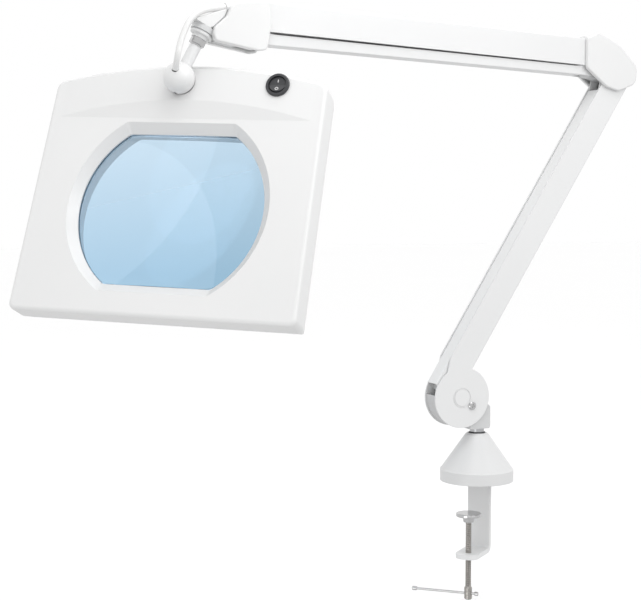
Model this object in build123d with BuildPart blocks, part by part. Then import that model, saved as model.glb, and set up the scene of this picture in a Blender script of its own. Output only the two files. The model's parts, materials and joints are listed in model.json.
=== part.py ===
"""Clamp-on magnifying lamp: swivel base, two spring-balanced parallelogram arms,
a swivelling neck with a ball hub, and a lighted head around a large lens.

Row frame: millimetres, +Z up. Both arms lie in the XZ plane, so every arm hinge is
parallel to Y. The origin is on the base swivel axis, on the table top (z = 0).
"""
import os
from math import cos, pi, radians, sin, tan

from build123d import *

os.makedirs("parts", exist_ok=True)

# ---------------------------------------------------------------- driving dimensions
# Clamp: a bent flat bar whose jaws point along JAW_ANGLE, seen from above
JAW_ANGLE = 219.7
BAR_WIDTH = 25.0
BAR_THICK = 5.0
WEB_BACK = 12.5            # outer face of the bar's upright, behind the swivel axis
SCREW_REACH = 23.4         # clamp screw axis, in front of the swivel axis
JAW_TIP = 36.0
JAW_TOP = -75.0            # upper face of the lower jaw
SCREW_R = 3.25
PAD_R = 13.5
PAD_TOP = -32.0
TOMMY_Z = -119.0
TOMMY_R = 1.3
TOMMY_ANGLE = 137.0        # direction of the long end of the tommy bar
TOMMY_LONG = 60.0
TOMMY_SHORT = 9.0

# Base swivel and its conical cover
CONE_R = 39.5
CONE_TOP_R = 12.6
CONE_H = 51.5
CONE_BAND = 13.5
POST_R = 6.0
SOCKET_R = 10.0
RUNNING = 0.05             # radial clearance of every shaft in its bore

# Layers of both arms, measured from the arm plane outwards
CORE_Y = 8.1               # half width of yoke and end castings
LINK_IN, LINK_OUT = 8.4, 9.8
CHEEK_IN, CHEEK_OUT = 10.4, 12.0
COVER_IN, COVER_OUT = 14.6, 17.0
SHEET = CHEEK_OUT - CHEEK_IN

# Lower arm: main pivot, direction, and pivots in the arm's own axes
DRUM_X, DRUM_Z = -25.0, 92.0
DRUM_R = 32.5
LOWER_ANGLE = 57.6
ELBOW_L = (396.4, 18.4)    # main elbow pivot
LINK_OFFSET_L = (0.7, 19.4)  # link pivot, from the main pivot at either end
LOWER_WEB, LOWER_OPEN = 5.5, 35.2
LOWER_LINK_WEB = 34.6
LOWER_LINK_EDGE = 24.0

# Upper arm: pivots in its own axes, which start at its elbow pivot
UPPER_X, UPPER_Z = 146.0, 465.0
UPPER_ANGLE = 2.67         # rise towards the head
UPPER_L = 408.4
LINK_OFFSET_U = (9.0, -21.4)
UPPER_TOP, UPPER_OPEN = 11.7, -17.45
UPPER_LINK_WEB = (-27.9, -30.3)
UPPER_LINK_EDGE = (-18.6, -19.4)  # upper edge of its cheeks at the elbow end and at the head end

# Neck: its axis leaves the arm end at KNEE and ends in the ball centre
KNEE = Vector(-307.0, 0, 467.0)
NECK_TILT = 28.4
NECK_L = 55.2
NECK_R = 6.0
THREAD_R = 5.0
EYE_R = 12.5
BALL_R = 15.5
BALL_WALL = 2.0
HUB_SHAFT_R = 4.0

# Head, in its own axes: x across, y up the face, z out of the face
HEAD_AZIMUTH = -130.0
HEAD_PITCH = 21.2
HEAD_ROLL = 2.2
HUB = (-4.7, 127.8, 13.4)  # ball centre
HEAD_TOP_HALF = 142.0
HEAD_BOTTOM_HALF = 145.8
HEAD_TOP = 148.3
HEAD_SHOULDER = 129.5
HEAD_BOTTOM = -110.0
HEAD_DEPTH = 44.0
SPLIT = -24.0              # joint line between the two shells
WALL = 2.6
BAND_H = 4.0               # raised band across the top of the face
LENS_R = 95.0
LENS_HALF = 77.5
LENS_EDGE = -9.0           # front of the lens rim
LENS_EDGE_T = 4.0
BEVEL = 8.5
SWITCH = (93.0, 126.5)
SWITCH_R = 11.75

# Visible cable from the arm end to the ball
CABLE_R = 3.0

# ---------------------------------------------------------------- axes and helpers
LOWER_DIR = Vector(cos(radians(LOWER_ANGLE)), 0, sin(radians(LOWER_ANGLE)))
UPPER_DIR = Vector(-cos(radians(UPPER_ANGLE)), 0, sin(radians(UPPER_ANGLE)))
NECK_DIR = Vector(-sin(radians(NECK_TILT)), 0, -cos(radians(NECK_TILT)))
BALL = KNEE + NECK_DIR * NECK_L
side = Plane(origin=(0, 0, 0), x_dir=(1, 0, 0), z_dir=(0, -1, 0))
lower = Plane(origin=(DRUM_X, 0, DRUM_Z), x_dir=LOWER_DIR, z_dir=(0, -1, 0))
upper = Plane(origin=(UPPER_X, 0, UPPER_Z), x_dir=UPPER_DIR, z_dir=(0, 1, 0))
jaw_dir = Vector(cos(radians(JAW_ANGLE)), sin(radians(JAW_ANGLE)), 0)
clamp = Plane(origin=(0, 0, 0), x_dir=jaw_dir, z_dir=(0, 0, 1))
clamp_side = Plane(origin=(0, 0, 0), x_dir=jaw_dir, z_dir=clamp.y_dir * -1)
neck = Plane(origin=KNEE, x_dir=(0, 1, 0), z_dir=NECK_DIR)

face_flat = Vector(cos(radians(HEAD_AZIMUTH)), sin(radians(HEAD_AZIMUTH)), 0)
face_out = face_flat * cos(radians(HEAD_PITCH)) + Vector(0, 0, sin(radians(HEAD_PITCH)))
face_level = Vector(-sin(radians(HEAD_AZIMUTH)), cos(radians(HEAD_AZIMUTH)), 0)
face_rise = face_out.cross(face_level)
face_right = face_level * cos(radians(HEAD_ROLL)) - face_rise * sin(radians(HEAD_ROLL))
face_up = face_out.cross(face_right)
lens_centre = BALL - face_right * HUB[0] - face_up * HUB[1] - face_out * HUB[2]
head = Plane(origin=lens_centre, x_dir=face_right, z_dir=face_out)
hub = Plane(origin=BALL, x_dir=face_level, z_dir=face_out)


def lug(start, end, r_start, r_end):
    """Flat link outline: the hull of two circles."""
    with BuildSketch() as outline:
        with Locations(start):
            Circle(r_start)
        with Locations(end):
            Circle(r_end)
        make_hull()
    return outline.sketch


def to_world(plane, point):
    """A point given in a plane's own axes, in the row frame."""
    return plane.from_local_coords(Vector(*point))


def in_arm_plane(plane, point):
    """The x and z of a point given in an arm's own axes."""
    where = to_world(plane, (point[0], point[1], 0))
    return (where.X, where.Z)


BASE_PIVOT = (DRUM_X, DRUM_Z)
BASE_LINK = in_arm_plane(lower, LINK_OFFSET_L)
ELBOW_LINK_L = (ELBOW_L[0] + LINK_OFFSET_L[0], ELBOW_L[1] + LINK_OFFSET_L[1])
ELBOW_A = in_arm_plane(lower, ELBOW_L)
ELBOW_B = in_arm_plane(lower, ELBOW_LINK_L)
ELBOW_C = (UPPER_X, UPPER_Z)
ELBOW_D = in_arm_plane(upper, LINK_OFFSET_U)
END_A = in_arm_plane(upper, (UPPER_L, 0))
END_LINK_U = (UPPER_L + LINK_OFFSET_U[0], LINK_OFFSET_U[1])
END_B = in_arm_plane(upper, END_LINK_U)
PIN_R = 3.0
PIN_BORE = PIN_R + RUNNING

# ================================================================ clamp
with BuildPart() as clamp_bracket:
    with BuildSketch(clamp_side):
        with BuildLine():
            Polyline((27, BAR_THICK), (-WEB_BACK, BAR_THICK), (-WEB_BACK, JAW_TOP - BAR_THICK),
                     (JAW_TIP, JAW_TOP - BAR_THICK), (JAW_TIP, JAW_TOP),
                     (BAR_THICK - WEB_BACK, JAW_TOP), (BAR_THICK - WEB_BACK, 0), (27, 0), close=True)
        make_face()
    extrude(amount=BAR_WIDTH / 2, both=True)
    bends = clamp_bracket.edges().filter_by(
        lambda e: abs(e.length - BAR_WIDTH) < 0.1 and clamp.to_local_coords(e.center()).X < 0)
    outer_bends = bends.filter_by(lambda e: clamp.to_local_coords(e.center()).X < 1 - WEB_BACK)
    inner_bends = bends.filter_by(lambda e: clamp.to_local_coords(e.center()).X > 1 - WEB_BACK)
    fillet(outer_bends, 8)
    fillet(inner_bends, 3)
    tip = [e for e in clamp_bracket.edges().filter_by(Axis.Z)
           if clamp.to_local_coords(e.center()).X > JAW_TIP - 1 and e.center().Z < JAW_TOP]
    fillet(tip, 9)
    with BuildSketch(clamp.offset(JAW_TOP)):
        with Locations((SCREW_REACH, 0)):
            Circle(SCREW_R + RUNNING)
    extrude(amount=-BAR_THICK * 2, mode=Mode.SUBTRACT)
clamp_bracket.part.label = "clamp_bracket"
export_step(clamp_bracket.part, "parts/clamp_bracket.step")

SOCKET_TOP = 47.3
with BuildPart() as swivel_socket:
    with BuildSketch(clamp.offset(BAR_THICK)):
        Circle(SOCKET_R)
    extrude(amount=SOCKET_TOP - BAR_THICK)
    with BuildSketch(clamp.offset(BAR_THICK)):
        Circle(SOCKET_R + 5)
    extrude(amount=4)
    fillet(swivel_socket.edges().filter_by(GeomType.CIRCLE).group_by(Axis.Z)[1], 1)
    with BuildSketch(clamp.offset(SOCKET_TOP)):
        Circle(POST_R + RUNNING)
    extrude(amount=-SOCKET_TOP, mode=Mode.SUBTRACT)
swivel_socket.part.label = "swivel_socket"
export_step(swivel_socket.part, "parts/swivel_socket.step")

CONE_WALL = 2.4
with BuildPart() as cone_cover:
    with BuildSketch(side):
        with BuildLine():
            Polyline((0, 0), (CONE_R, 0), (CONE_R, CONE_BAND - 1.2), (CONE_R - 1.4, CONE_BAND),
                     (CONE_TOP_R, CONE_H - 1.5), (CONE_TOP_R - 2, CONE_H), (0, CONE_H), close=True)
        make_face()
        with BuildLine():
            Polyline((0, 0), (CONE_R - CONE_WALL, 0), (CONE_R - CONE_WALL, CONE_BAND - 2),
                     (CONE_TOP_R - CONE_WALL, CONE_H - 4), (0, CONE_H - 4), close=True)
        make_face(mode=Mode.SUBTRACT)
    revolve(axis=Axis.Z)
    with BuildSketch(Plane.XY.offset(CONE_H)):
        Circle(9.2)
    extrude(amount=-10, mode=Mode.SUBTRACT)
    fillet(cone_cover.edges().filter_by(GeomType.CIRCLE).filter_by(
        lambda e: abs(e.radius - CONE_R) < 0.1 and e.center().Z > 5), 1.0)
cone_cover.part.label = "cone_cover"
export_step(cone_cover.part, "parts/cone_cover.step")

with BuildPart() as base_pad:
    with BuildSketch(Plane.XY):
        Circle(CONE_R - CONE_WALL - 0.1)
        Circle(30.5, mode=Mode.SUBTRACT)
    extrude(amount=3)
base_pad.part.label = "base_pad"
export_step(base_pad.part, "parts/base_pad.step")

BUSH_TOP = 52.8
with BuildPart() as top_bush:
    with BuildSketch(Plane.XY.offset(SOCKET_TOP)):
        Circle(9.0)
        Circle(POST_R + RUNNING, mode=Mode.SUBTRACT)
    extrude(amount=BUSH_TOP - SOCKET_TOP)
    fillet(top_bush.edges().group_by(Axis.Z)[-1].sort_by(SortBy.LENGTH)[-1], 1.2)
top_bush.part.label = "top_bush"
export_step(top_bush.part, "parts/top_bush.step")

PAD_T = 3.5
with BuildPart() as pressure_pad:
    with BuildSketch(clamp.offset(PAD_TOP)):
        with Locations((SCREW_REACH, 0)):
            Circle(PAD_R)
    extrude(amount=-PAD_T)
    fillet(pressure_pad.edges(), 0.8)
    with BuildSketch(clamp.offset(PAD_TOP - PAD_T)):
        with Locations((SCREW_REACH, 0)):
            Circle(6.5)
    extrude(amount=-6, taper=8)
    with BuildSketch(clamp.offset(PAD_TOP - PAD_T - 6)):
        with Locations((SCREW_REACH, 0)):
            Circle(SCREW_R + RUNNING)
    extrude(amount=6, mode=Mode.SUBTRACT)
pressure_pad.part.label = "pressure_pad"
export_step(pressure_pad.part, "parts/pressure_pad.step")

BOSS_R = 4.2
with BuildPart() as clamp_screw:
    with BuildSketch(clamp.offset(PAD_TOP - PAD_T - 0.4)):
        with Locations((SCREW_REACH, 0)):
            Circle(SCREW_R)
    extrude(amount=TOMMY_Z + 7 - (PAD_TOP - PAD_T - 0.4))
    chamfer(clamp_screw.edges().group_by(Axis.Z)[-1], 0.8)
    with BuildSketch(clamp.offset(TOMMY_Z + 7)):
        with Locations((SCREW_REACH, 0)):
            Circle(BOSS_R)
    extrude(amount=-13.5)
    chamfer(clamp_screw.edges().group_by(Axis.Z)[0], 1)
    tommy_dir = Vector(cos(radians(TOMMY_ANGLE)), sin(radians(TOMMY_ANGLE)), 0)
    screw_axis = to_world(clamp, (SCREW_REACH, 0, 0))
    tommy = Plane(origin=(screw_axis.X, screw_axis.Y, TOMMY_Z), x_dir=(0, 0, 1), z_dir=tommy_dir)
    with BuildSketch(tommy):
        Circle(TOMMY_R + RUNNING)
    extrude(amount=BOSS_R * 2, both=True, mode=Mode.SUBTRACT)
clamp_screw.part.label = "clamp_screw"
export_step(clamp_screw.part, "parts/clamp_screw.step")

with BuildPart() as tommy_bar:
    with BuildSketch(tommy.offset(-TOMMY_SHORT)):
        Circle(TOMMY_R)
    extrude(amount=TOMMY_LONG + TOMMY_SHORT)
tommy_bar.part.label = "tommy_bar"
export_step(tommy_bar.part, "parts/tommy_bar.step")

with BuildPart() as tommy_caps:
    for start, length in ((TOMMY_LONG - 3, 5), (-TOMMY_SHORT - 2, 4)):
        with BuildSketch(tommy.offset(start)):
            Circle(TOMMY_R + 0.9)
        extrude(amount=length)
    fillet(tommy_caps.edges(), 0.5)
    with BuildSketch(tommy.offset(-TOMMY_SHORT)):
        Circle(TOMMY_R)
    extrude(amount=TOMMY_LONG + TOMMY_SHORT, mode=Mode.SUBTRACT)
tommy_caps.part.label = "tommy_caps"
export_step(tommy_caps.part, "parts/tommy_caps.step")

# ================================================================ base swivel
YOKE_FOOT = 56.5
YOKE_RIGHT = 11.7
YOKE_LEFT = -13.0
with BuildPart() as post:
    with BuildSketch(Plane.XY.offset(8)):
        Circle(POST_R)
    extrude(amount=YOKE_FOOT - 8)
    with BuildSketch(Plane.XY.offset(BUSH_TOP + 0.1)):
        Circle(7.6)
    extrude(amount=YOKE_FOOT - BUSH_TOP - 0.1)
    chamfer(post.edges().group_by(Axis.Z)[0], 0.8)
post.part.label = "post"
export_step(post.part, "parts/post.step")

with BuildPart() as yoke:
    with BuildSketch(side):
        with BuildLine():
            Polyline((YOKE_LEFT, YOKE_FOOT), (YOKE_RIGHT, YOKE_FOOT), (YOKE_RIGHT, 80), (DRUM_X + 14, 103),
                     (DRUM_X - 8, 101), (DRUM_X - 10, 84), (YOKE_LEFT, 72), close=True)
        make_face()
        add(lug(BASE_PIVOT, BASE_LINK, 10.5, 7.5))
        with Locations(BASE_PIVOT, BASE_LINK):
            Circle(PIN_R, mode=Mode.SUBTRACT)
    extrude(amount=CORE_Y, both=True)
    fillet(yoke.edges().filter_by(Axis.Y).filter_by(
        lambda e: e.center().X > 0 and e.center().Z < 90), 2.5)
yoke.part.label = "yoke"
export_step(yoke.part, "parts/yoke.step")

GUARD_R = 31.2
with BuildPart() as guard:
    with BuildSketch(side):
        with Locations(BASE_PIVOT):
            Circle(GUARD_R)
            Circle(GUARD_R - 1.8, mode=Mode.SUBTRACT)
            with Locations((0, 50 + 3)):
                Rectangle(120, 100, mode=Mode.SUBTRACT)
        with Locations((YOKE_LEFT + 50, DRUM_Z)):
            Rectangle(100, 120, mode=Mode.SUBTRACT)
    extrude(amount=CHEEK_IN - 0.3, both=True)
guard.part.label = "guard"
export_step(guard.part, "parts/guard.step")

with BuildPart() as base_pins:
    with BuildSketch(side):
        with Locations(BASE_PIVOT):
            Circle(PIN_R)
    extrude(amount=CHEEK_OUT - 0.1, both=True)
    with BuildSketch(side):
        with Locations(BASE_LINK):
            Circle(PIN_R)
    extrude(amount=LINK_OUT + 0.3, both=True)
base_pins.part.label = "base_pins"
export_step(base_pins.part, "parts/base_pins.step")

# ================================================================ lower arm
LOWER_PIVOTS = ((0, 0), ELBOW_L)
SCREW_SPOT = (-1.5, -15.1)
LOWER_ANCHORS = ((52.0, 14.5), (338.0, 14.5))
ANCHOR_R = 2.0
ANCHOR_HALF = CHEEK_IN + 0.8   # the anchors end inside the cheeks
with BuildPart() as lower_channel:
    for sheet in (-1, 1):
        with BuildSketch(lower.offset(sheet * (CHEEK_IN + SHEET / 2))):
            with BuildLine():
                Polyline((14, LOWER_WEB), (ELBOW_L[0], LOWER_WEB), (ELBOW_L[0] + 6, 28), (380, LOWER_OPEN),
                         (30, LOWER_OPEN), (8, 28), close=True)
            make_face()
            Circle(DRUM_R)
            with Locations(ELBOW_L):
                Circle(ELBOW_L[1] - LOWER_WEB - 1.5)
            with Locations((0, 0), ELBOW_L):
                Circle(PIN_BORE, mode=Mode.SUBTRACT)
            with Locations(SCREW_SPOT):
                Circle(2.0, mode=Mode.SUBTRACT)
        extrude(amount=SHEET / 2, both=True)
    with BuildSketch(lower):
        with Locations(*LOWER_ANCHORS):
            Circle(ANCHOR_R)
    extrude(amount=ANCHOR_HALF, both=True, mode=Mode.SUBTRACT)
    with BuildSketch(lower):
        with BuildLine():
            Polyline((30, LOWER_WEB), (ELBOW_L[0], LOWER_WEB), (ELBOW_L[0], LOWER_WEB + SHEET),
                     (30, LOWER_WEB + SHEET), close=True)
        make_face()
    extrude(amount=CHEEK_OUT, both=True)
    long_edges = lower_channel.edges().filter_by(
        lambda e: e.length > 300 and abs(lower.to_local_coords(e.center()).Y - LOWER_WEB) < 0.05)
    fillet(long_edges, 1.4)
    for cap in (-1, 1):
        with BuildSketch(lower.offset(cap * CHEEK_OUT)):
            Circle(10.6)
            Circle(9.7, mode=Mode.SUBTRACT)
            Circle(9.2)
        extrude(amount=cap * 0.35)
lower_channel.part.label = "lower_channel"
export_step(lower_channel.part, "parts/lower_channel.step")

with BuildPart() as cheek_screws:
    for cap in (-1, 1):
        with BuildSketch(lower.offset(cap * CHEEK_OUT)):
            with Locations(SCREW_SPOT):
                Circle(4.2)
        extrude(amount=cap * 1.8)
        with BuildSketch(lower.offset(cap * CHEEK_OUT)):
            with Locations(SCREW_SPOT):
                Circle(2.0)
        extrude(amount=-cap * 3.4)
    heads = cheek_screws.faces().filter_by(Axis.Y).sort_by(Axis.Y)
    chamfer(heads[0].edges(), 0.7)
    chamfer(heads[-1].edges(), 0.7)
    for cap in (-1, 1):
        with BuildSketch(lower.offset(cap * (CHEEK_OUT + 1.8))):
            with Locations(SCREW_SPOT):
                Rectangle(4.4, 0.9, rotation=20)
                Rectangle(0.9, 4.4, rotation=20)
        extrude(amount=-cap * 0.9, mode=Mode.SUBTRACT)
cheek_screws.part.label = "cheek_screws"
export_step(cheek_screws.part, "parts/cheek_screws.step")

with BuildPart() as friction_plates:
    for cap in (-1, 1):
        with BuildSketch(lower.offset(cap * (CORE_Y + 0.1))):
            add(lug((0, 0), SCREW_SPOT, 11.0, 5.0))
            Circle(PIN_BORE, mode=Mode.SUBTRACT)
            with Locations(SCREW_SPOT):
                Circle(2.0, mode=Mode.SUBTRACT)
        extrude(amount=cap * (CHEEK_IN - CORE_Y - 0.1))
friction_plates.part.label = "friction_plates"
export_step(friction_plates.part, "parts/friction_plates.step")

SPRING_R = 3.7
SPRING_WIRE = 0.8
SPRING_Y = 4.3


def arm_spring(plane, first, last):
    """Closed-coil spring body with a hook loop round the anchor pin at each end."""
    hook = ANCHOR_R + 0.1 + SPRING_WIRE
    with BuildPart() as spring:
        for half in (-1, 1):
            layer = plane.offset(half * SPRING_Y)
            with BuildSketch(layer):
                with BuildLine():
                    Polyline((first[0] + 9, first[1]), (first[0] + 12, first[1] + SPRING_R),
                             (last[0] - 12, last[1] + SPRING_R), (last[0] - 9, last[1]), close=True)
                make_face()
                with BuildLine():
                    Polyline((first[0] + 12, first[1]), (first[0] + 12, first[1] + SPRING_R - 2 * SPRING_WIRE),
                             (last[0] - 12, last[1] + SPRING_R - 2 * SPRING_WIRE), (last[0] - 12, last[1]),
                             close=True)
                make_face(mode=Mode.SUBTRACT)
            axis_line = Axis(layer.from_local_coords((first[0], first[1], 0)), plane.x_dir)
            revolve(axis=axis_line)
            with BuildSketch(layer.offset(-SPRING_WIRE)):
                for centre, toward in ((first, 1), (last, -1)):
                    with Locations(centre):
                        Circle(hook + SPRING_WIRE)
                    with Locations((centre[0] + toward * 7, centre[1])):
                        Rectangle(8.5, 2 * SPRING_WIRE)
                for centre in (first, last):
                    with Locations(centre):
                        Circle(ANCHOR_R + 0.1, mode=Mode.SUBTRACT)
            extrude(amount=2 * SPRING_WIRE)
    return spring


lower_springs = arm_spring(lower, *LOWER_ANCHORS)
lower_springs.part.label = "lower_springs"
export_step(lower_springs.part, "parts/lower_springs.step")

with BuildPart() as lower_anchors:
    with BuildSketch(lower):
        with Locations(*LOWER_ANCHORS):
            Circle(ANCHOR_R)
    extrude(amount=ANCHOR_HALF, both=True)
lower_anchors.part.label = "lower_anchors"
export_step(lower_anchors.part, "parts/lower_anchors.step")

LINK_T = LINK_OUT - LINK_IN
with BuildPart() as lower_link:
    for sheet in (-1, 1):
        with BuildSketch(lower.offset(sheet * (LINK_IN + LINK_T / 2))):
            with BuildLine():
                Polyline((-3, LOWER_LINK_WEB), (372, LOWER_LINK_WEB), (ELBOW_LINK_L[0] - 4, ELBOW_LINK_L[1] + 5),
                         (ELBOW_LINK_L[0] - 2, ELBOW_LINK_L[1] - 6), (366, LOWER_LINK_EDGE),
                         (20, LOWER_LINK_EDGE), (LINK_OFFSET_L[0] + 4, LINK_OFFSET_L[1] - 5),
                         (LINK_OFFSET_L[0] - 6, LINK_OFFSET_L[1] + 3), close=True)
            make_face()
            with Locations(LINK_OFFSET_L, ELBOW_LINK_L):
                Circle(7.0)
            with Locations(LINK_OFFSET_L, ELBOW_LINK_L):
                Circle(PIN_BORE, mode=Mode.SUBTRACT)
        extrude(amount=LINK_T / 2, both=True)
    with BuildSketch(lower):
        with BuildLine():
            Polyline((-3, LOWER_LINK_WEB), (370, LOWER_LINK_WEB), (370, LOWER_LINK_WEB - LINK_T),
                     (-3, LOWER_LINK_WEB - LINK_T), close=True)
        make_face()
    extrude(amount=LINK_OUT, both=True)
    long_edges = lower_link.edges().filter_by(
        lambda e: e.length > 300 and abs(lower.to_local_coords(e.center()).Y - LOWER_LINK_WEB) < 0.05)
    fillet(long_edges, 1.2)
lower_link.part.label = "lower_link"
export_step(lower_link.part, "parts/lower_link.step")

# ================================================================ elbow
with BuildPart() as elbow_casting:
    with BuildSketch(side):
        with Locations(ELBOW_A, ELBOW_B, ELBOW_C, ELBOW_D):
            Circle(7.6)
        make_hull()
        with Locations(ELBOW_A, ELBOW_B, ELBOW_C, ELBOW_D):
            Circle(PIN_R, mode=Mode.SUBTRACT)
    extrude(amount=CORE_Y, both=True)
elbow_casting.part.label = "elbow_casting"
export_step(elbow_casting.part, "parts/elbow_casting.step")

with BuildPart() as elbow_pins:
    with BuildSketch(side):
        with Locations(ELBOW_A, ELBOW_C):
            Circle(PIN_R)
    extrude(amount=COVER_IN, both=True)
    with BuildSketch(side):
        with Locations(ELBOW_B, ELBOW_D):
            Circle(PIN_R)
    extrude(amount=LINK_OUT + 0.3, both=True)
elbow_pins.part.label = "elbow_pins"
export_step(elbow_pins.part, "parts/elbow_pins.step")

ELBOW_OUTLINE = ((125.3, 477.5), (139.5, 484.0), (168.0, 471.0), (190.5, 449.0), (189.0, 430.0), (166.0, 421.5),
                 (150.5, 426.0), (125.3, 445.0))
ELBOW_RADII = (2.0, 7.0, 30.0, 12.0, 10.0, 9.0, 10.0, 5.0)


def joint_cover(outline, radii, half, posts, rim_keep, rim_end=0.1, cuts=()):
    """Shell over one side of an arm joint: a plate, its rim, and posts onto the pins.

    rim_keep is the outline of the region where the rim runs in towards the arm plane,
    as far as rim_end; cuts are solids that the cover makes room for.
    """
    with BuildPart() as cover:
        with BuildSketch(side.offset(half * COVER_IN)):
            with BuildLine():
                FilletPolyline(*outline, radius=list(radii), close=True)
            make_face()
        extrude(amount=half * (COVER_OUT - COVER_IN))
        rim_edges = cover.faces().filter_by(Axis.Y).sort_by(Axis.Y)[0 if half > 0 else -1].edges()
        fillet(rim_edges, 1.6)
        with BuildSketch(side.offset(half * COVER_IN)):
            with BuildLine():
                FilletPolyline(*outline, radius=list(radii), close=True)
            make_face()
            offset(amount=-2.2, mode=Mode.SUBTRACT)
        extrude(amount=-half * (COVER_IN - CHEEK_OUT - 0.4))
        with BuildSketch(side.offset(half * COVER_IN)):
            with BuildLine():
                FilletPolyline(*outline, radius=list(radii), close=True)
            make_face()
            offset(amount=-2.2, mode=Mode.SUBTRACT)
            with BuildLine():
                Polyline(*rim_keep, close=True)
            make_face(mode=Mode.INTERSECT)
        extrude(amount=-half * (COVER_IN - rim_end))
        with BuildSketch(side.offset(half * COVER_IN)):
            with Locations(*posts):
                Circle(5.5)
                Circle(PIN_R, mode=Mode.SUBTRACT)
        extrude(amount=-half * (COVER_IN - CHEEK_OUT - 0.2))
        for cut in cuts:
            add(cut, mode=Mode.SUBTRACT)
    return cover


ELBOW_RIM = ((158, 500), (158, 468), (180, 448), (182, 444), (220, 444), (220, 500))
elbow_cover_front = joint_cover(ELBOW_OUTLINE, ELBOW_RADII, 1, (ELBOW_A, ELBOW_C), ELBOW_RIM)
elbow_cover_front.part.label = "elbow_cover_front"
export_step(elbow_cover_front.part, "parts/elbow_cover_front.step")

elbow_cover_rear = joint_cover(ELBOW_OUTLINE, ELBOW_RADII, -1, (ELBOW_A, ELBOW_C), ELBOW_RIM)
elbow_cover_rear.part.label = "elbow_cover_rear"
export_step(elbow_cover_rear.part, "parts/elbow_cover_rear.step")

# ================================================================ upper arm
UPPER_PIVOTS = ((0, 0), (UPPER_L, 0))
UPPER_ANCHORS = ((52.0, 2.0), (350.0, 2.0))
with BuildPart() as upper_channel:
    for sheet in (-1, 1):
        with BuildSketch(upper.offset(sheet * (CHEEK_IN + SHEET / 2))):
            with BuildLine():
                Polyline((2, UPPER_TOP), (UPPER_L - 4, UPPER_TOP), (UPPER_L + 8, 0), (UPPER_L - 2, -12),
                         (UPPER_L - 12, UPPER_OPEN), (14, UPPER_OPEN), (2, -11), close=True)
            make_face()
            with Locations(*UPPER_PIVOTS):
                Circle(UPPER_TOP - 0.8)
            with Locations(*UPPER_PIVOTS):
                Circle(PIN_BORE, mode=Mode.SUBTRACT)
        extrude(amount=SHEET / 2, both=True)
    with BuildSketch(upper):
        with Locations(*UPPER_ANCHORS):
            Circle(ANCHOR_R)
    extrude(amount=ANCHOR_HALF, both=True, mode=Mode.SUBTRACT)
    with BuildSketch(upper):
        with BuildLine():
            Polyline((8, UPPER_TOP), (UPPER_L - 8, UPPER_TOP), (UPPER_L - 8, UPPER_TOP - SHEET),
                     (8, UPPER_TOP - SHEET), close=True)
        make_face()
    extrude(amount=CHEEK_OUT, both=True)
    long_edges = upper_channel.edges().filter_by(
        lambda e: e.length > 300 and abs(upper.to_local_coords(e.center()).Y - UPPER_TOP) < 0.05)
    fillet(long_edges, 1.4)
upper_channel.part.label = "upper_channel"
export_step(upper_channel.part, "parts/upper_channel.step")

upper_springs = arm_spring(upper, *UPPER_ANCHORS)
upper_springs.part.label = "upper_springs"
export_step(upper_springs.part, "parts/upper_springs.step")

with BuildPart() as upper_anchors:
    with BuildSketch(upper):
        with Locations(*UPPER_ANCHORS):
            Circle(ANCHOR_R)
    extrude(amount=ANCHOR_HALF, both=True)
upper_anchors.part.label = "upper_anchors"
export_step(upper_anchors.part, "parts/upper_anchors.step")

UPPER_WEB_START, UPPER_WEB_END = 24.0, 393.0
with BuildPart() as upper_link:
    for sheet in (-1, 1):
        with BuildSketch(upper.offset(sheet * (LINK_IN + LINK_T / 2))):
            with BuildLine():
                Polyline((LINK_OFFSET_U[0], LINK_OFFSET_U[1] - 6.8), (UPPER_WEB_START, UPPER_LINK_WEB[0]),
                         (UPPER_WEB_END, UPPER_LINK_WEB[1]), (END_LINK_U[0], END_LINK_U[1] - 6.8),
                         (END_LINK_U[0], END_LINK_U[1] + 6.8), (UPPER_WEB_END - 10, UPPER_LINK_EDGE[1]),
                         (UPPER_WEB_START + 6, UPPER_LINK_EDGE[0]), (LINK_OFFSET_U[0], LINK_OFFSET_U[1] + 6.8),
                         close=True)
            make_face()
            with Locations(LINK_OFFSET_U, END_LINK_U):
                Circle(6.9)
            with Locations(LINK_OFFSET_U, END_LINK_U):
                Circle(PIN_BORE, mode=Mode.SUBTRACT)
        extrude(amount=LINK_T / 2, both=True)
    with BuildSketch(upper):
        with BuildLine():
            Polyline((UPPER_WEB_START, UPPER_LINK_WEB[0]), (UPPER_WEB_END, UPPER_LINK_WEB[1]),
                     (UPPER_WEB_END, UPPER_LINK_WEB[1] + LINK_T),
                     (UPPER_WEB_START, UPPER_LINK_WEB[0] + LINK_T), close=True)
        make_face()
    extrude(amount=LINK_OUT, both=True)
    web_edges = upper_link.faces().sort_by(SortBy.AREA)[-3:].edges().filter_by(
        lambda e: e.length > 300 and upper.to_local_coords(e.center()).Y < -29)
    fillet(web_edges, 1.0)
upper_link.part.label = "upper_link"
export_step(upper_link.part, "parts/upper_link.step")

# ================================================================ cable route and gland
GLAND_LONG = 8.0
GLAND_R = 4.1
CABLE_CLEAR = 1.8          # keeps the slanted cable end off the ball as the neck turns
gland_dir = Vector(-0.46, -0.72, 0.45).normalized()
CABLE_ROUTE = [
    (-288.6, -8.6, 487.4),
    (-301.5, -9.4, 485.6),
    (-316.0, -11.0, 481.4),
    (-326.6, -12.6, 472.6),
    (-332.6, -14.3, 460.8),
    (-337.6, -16.6, 448.6),
    (-341.0, -19.4, 435.6),
    tuple(BALL + gland_dir * (BALL_R + CABLE_CLEAR)),
]
gland = Plane(origin=CABLE_ROUTE[0], z_dir=Vector(*CABLE_ROUTE[0]) - Vector(*CABLE_ROUTE[1]))
with BuildPart() as gland_space:
    with BuildSketch(gland):
        Circle(GLAND_R)
    extrude(amount=GLAND_LONG)

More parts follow.
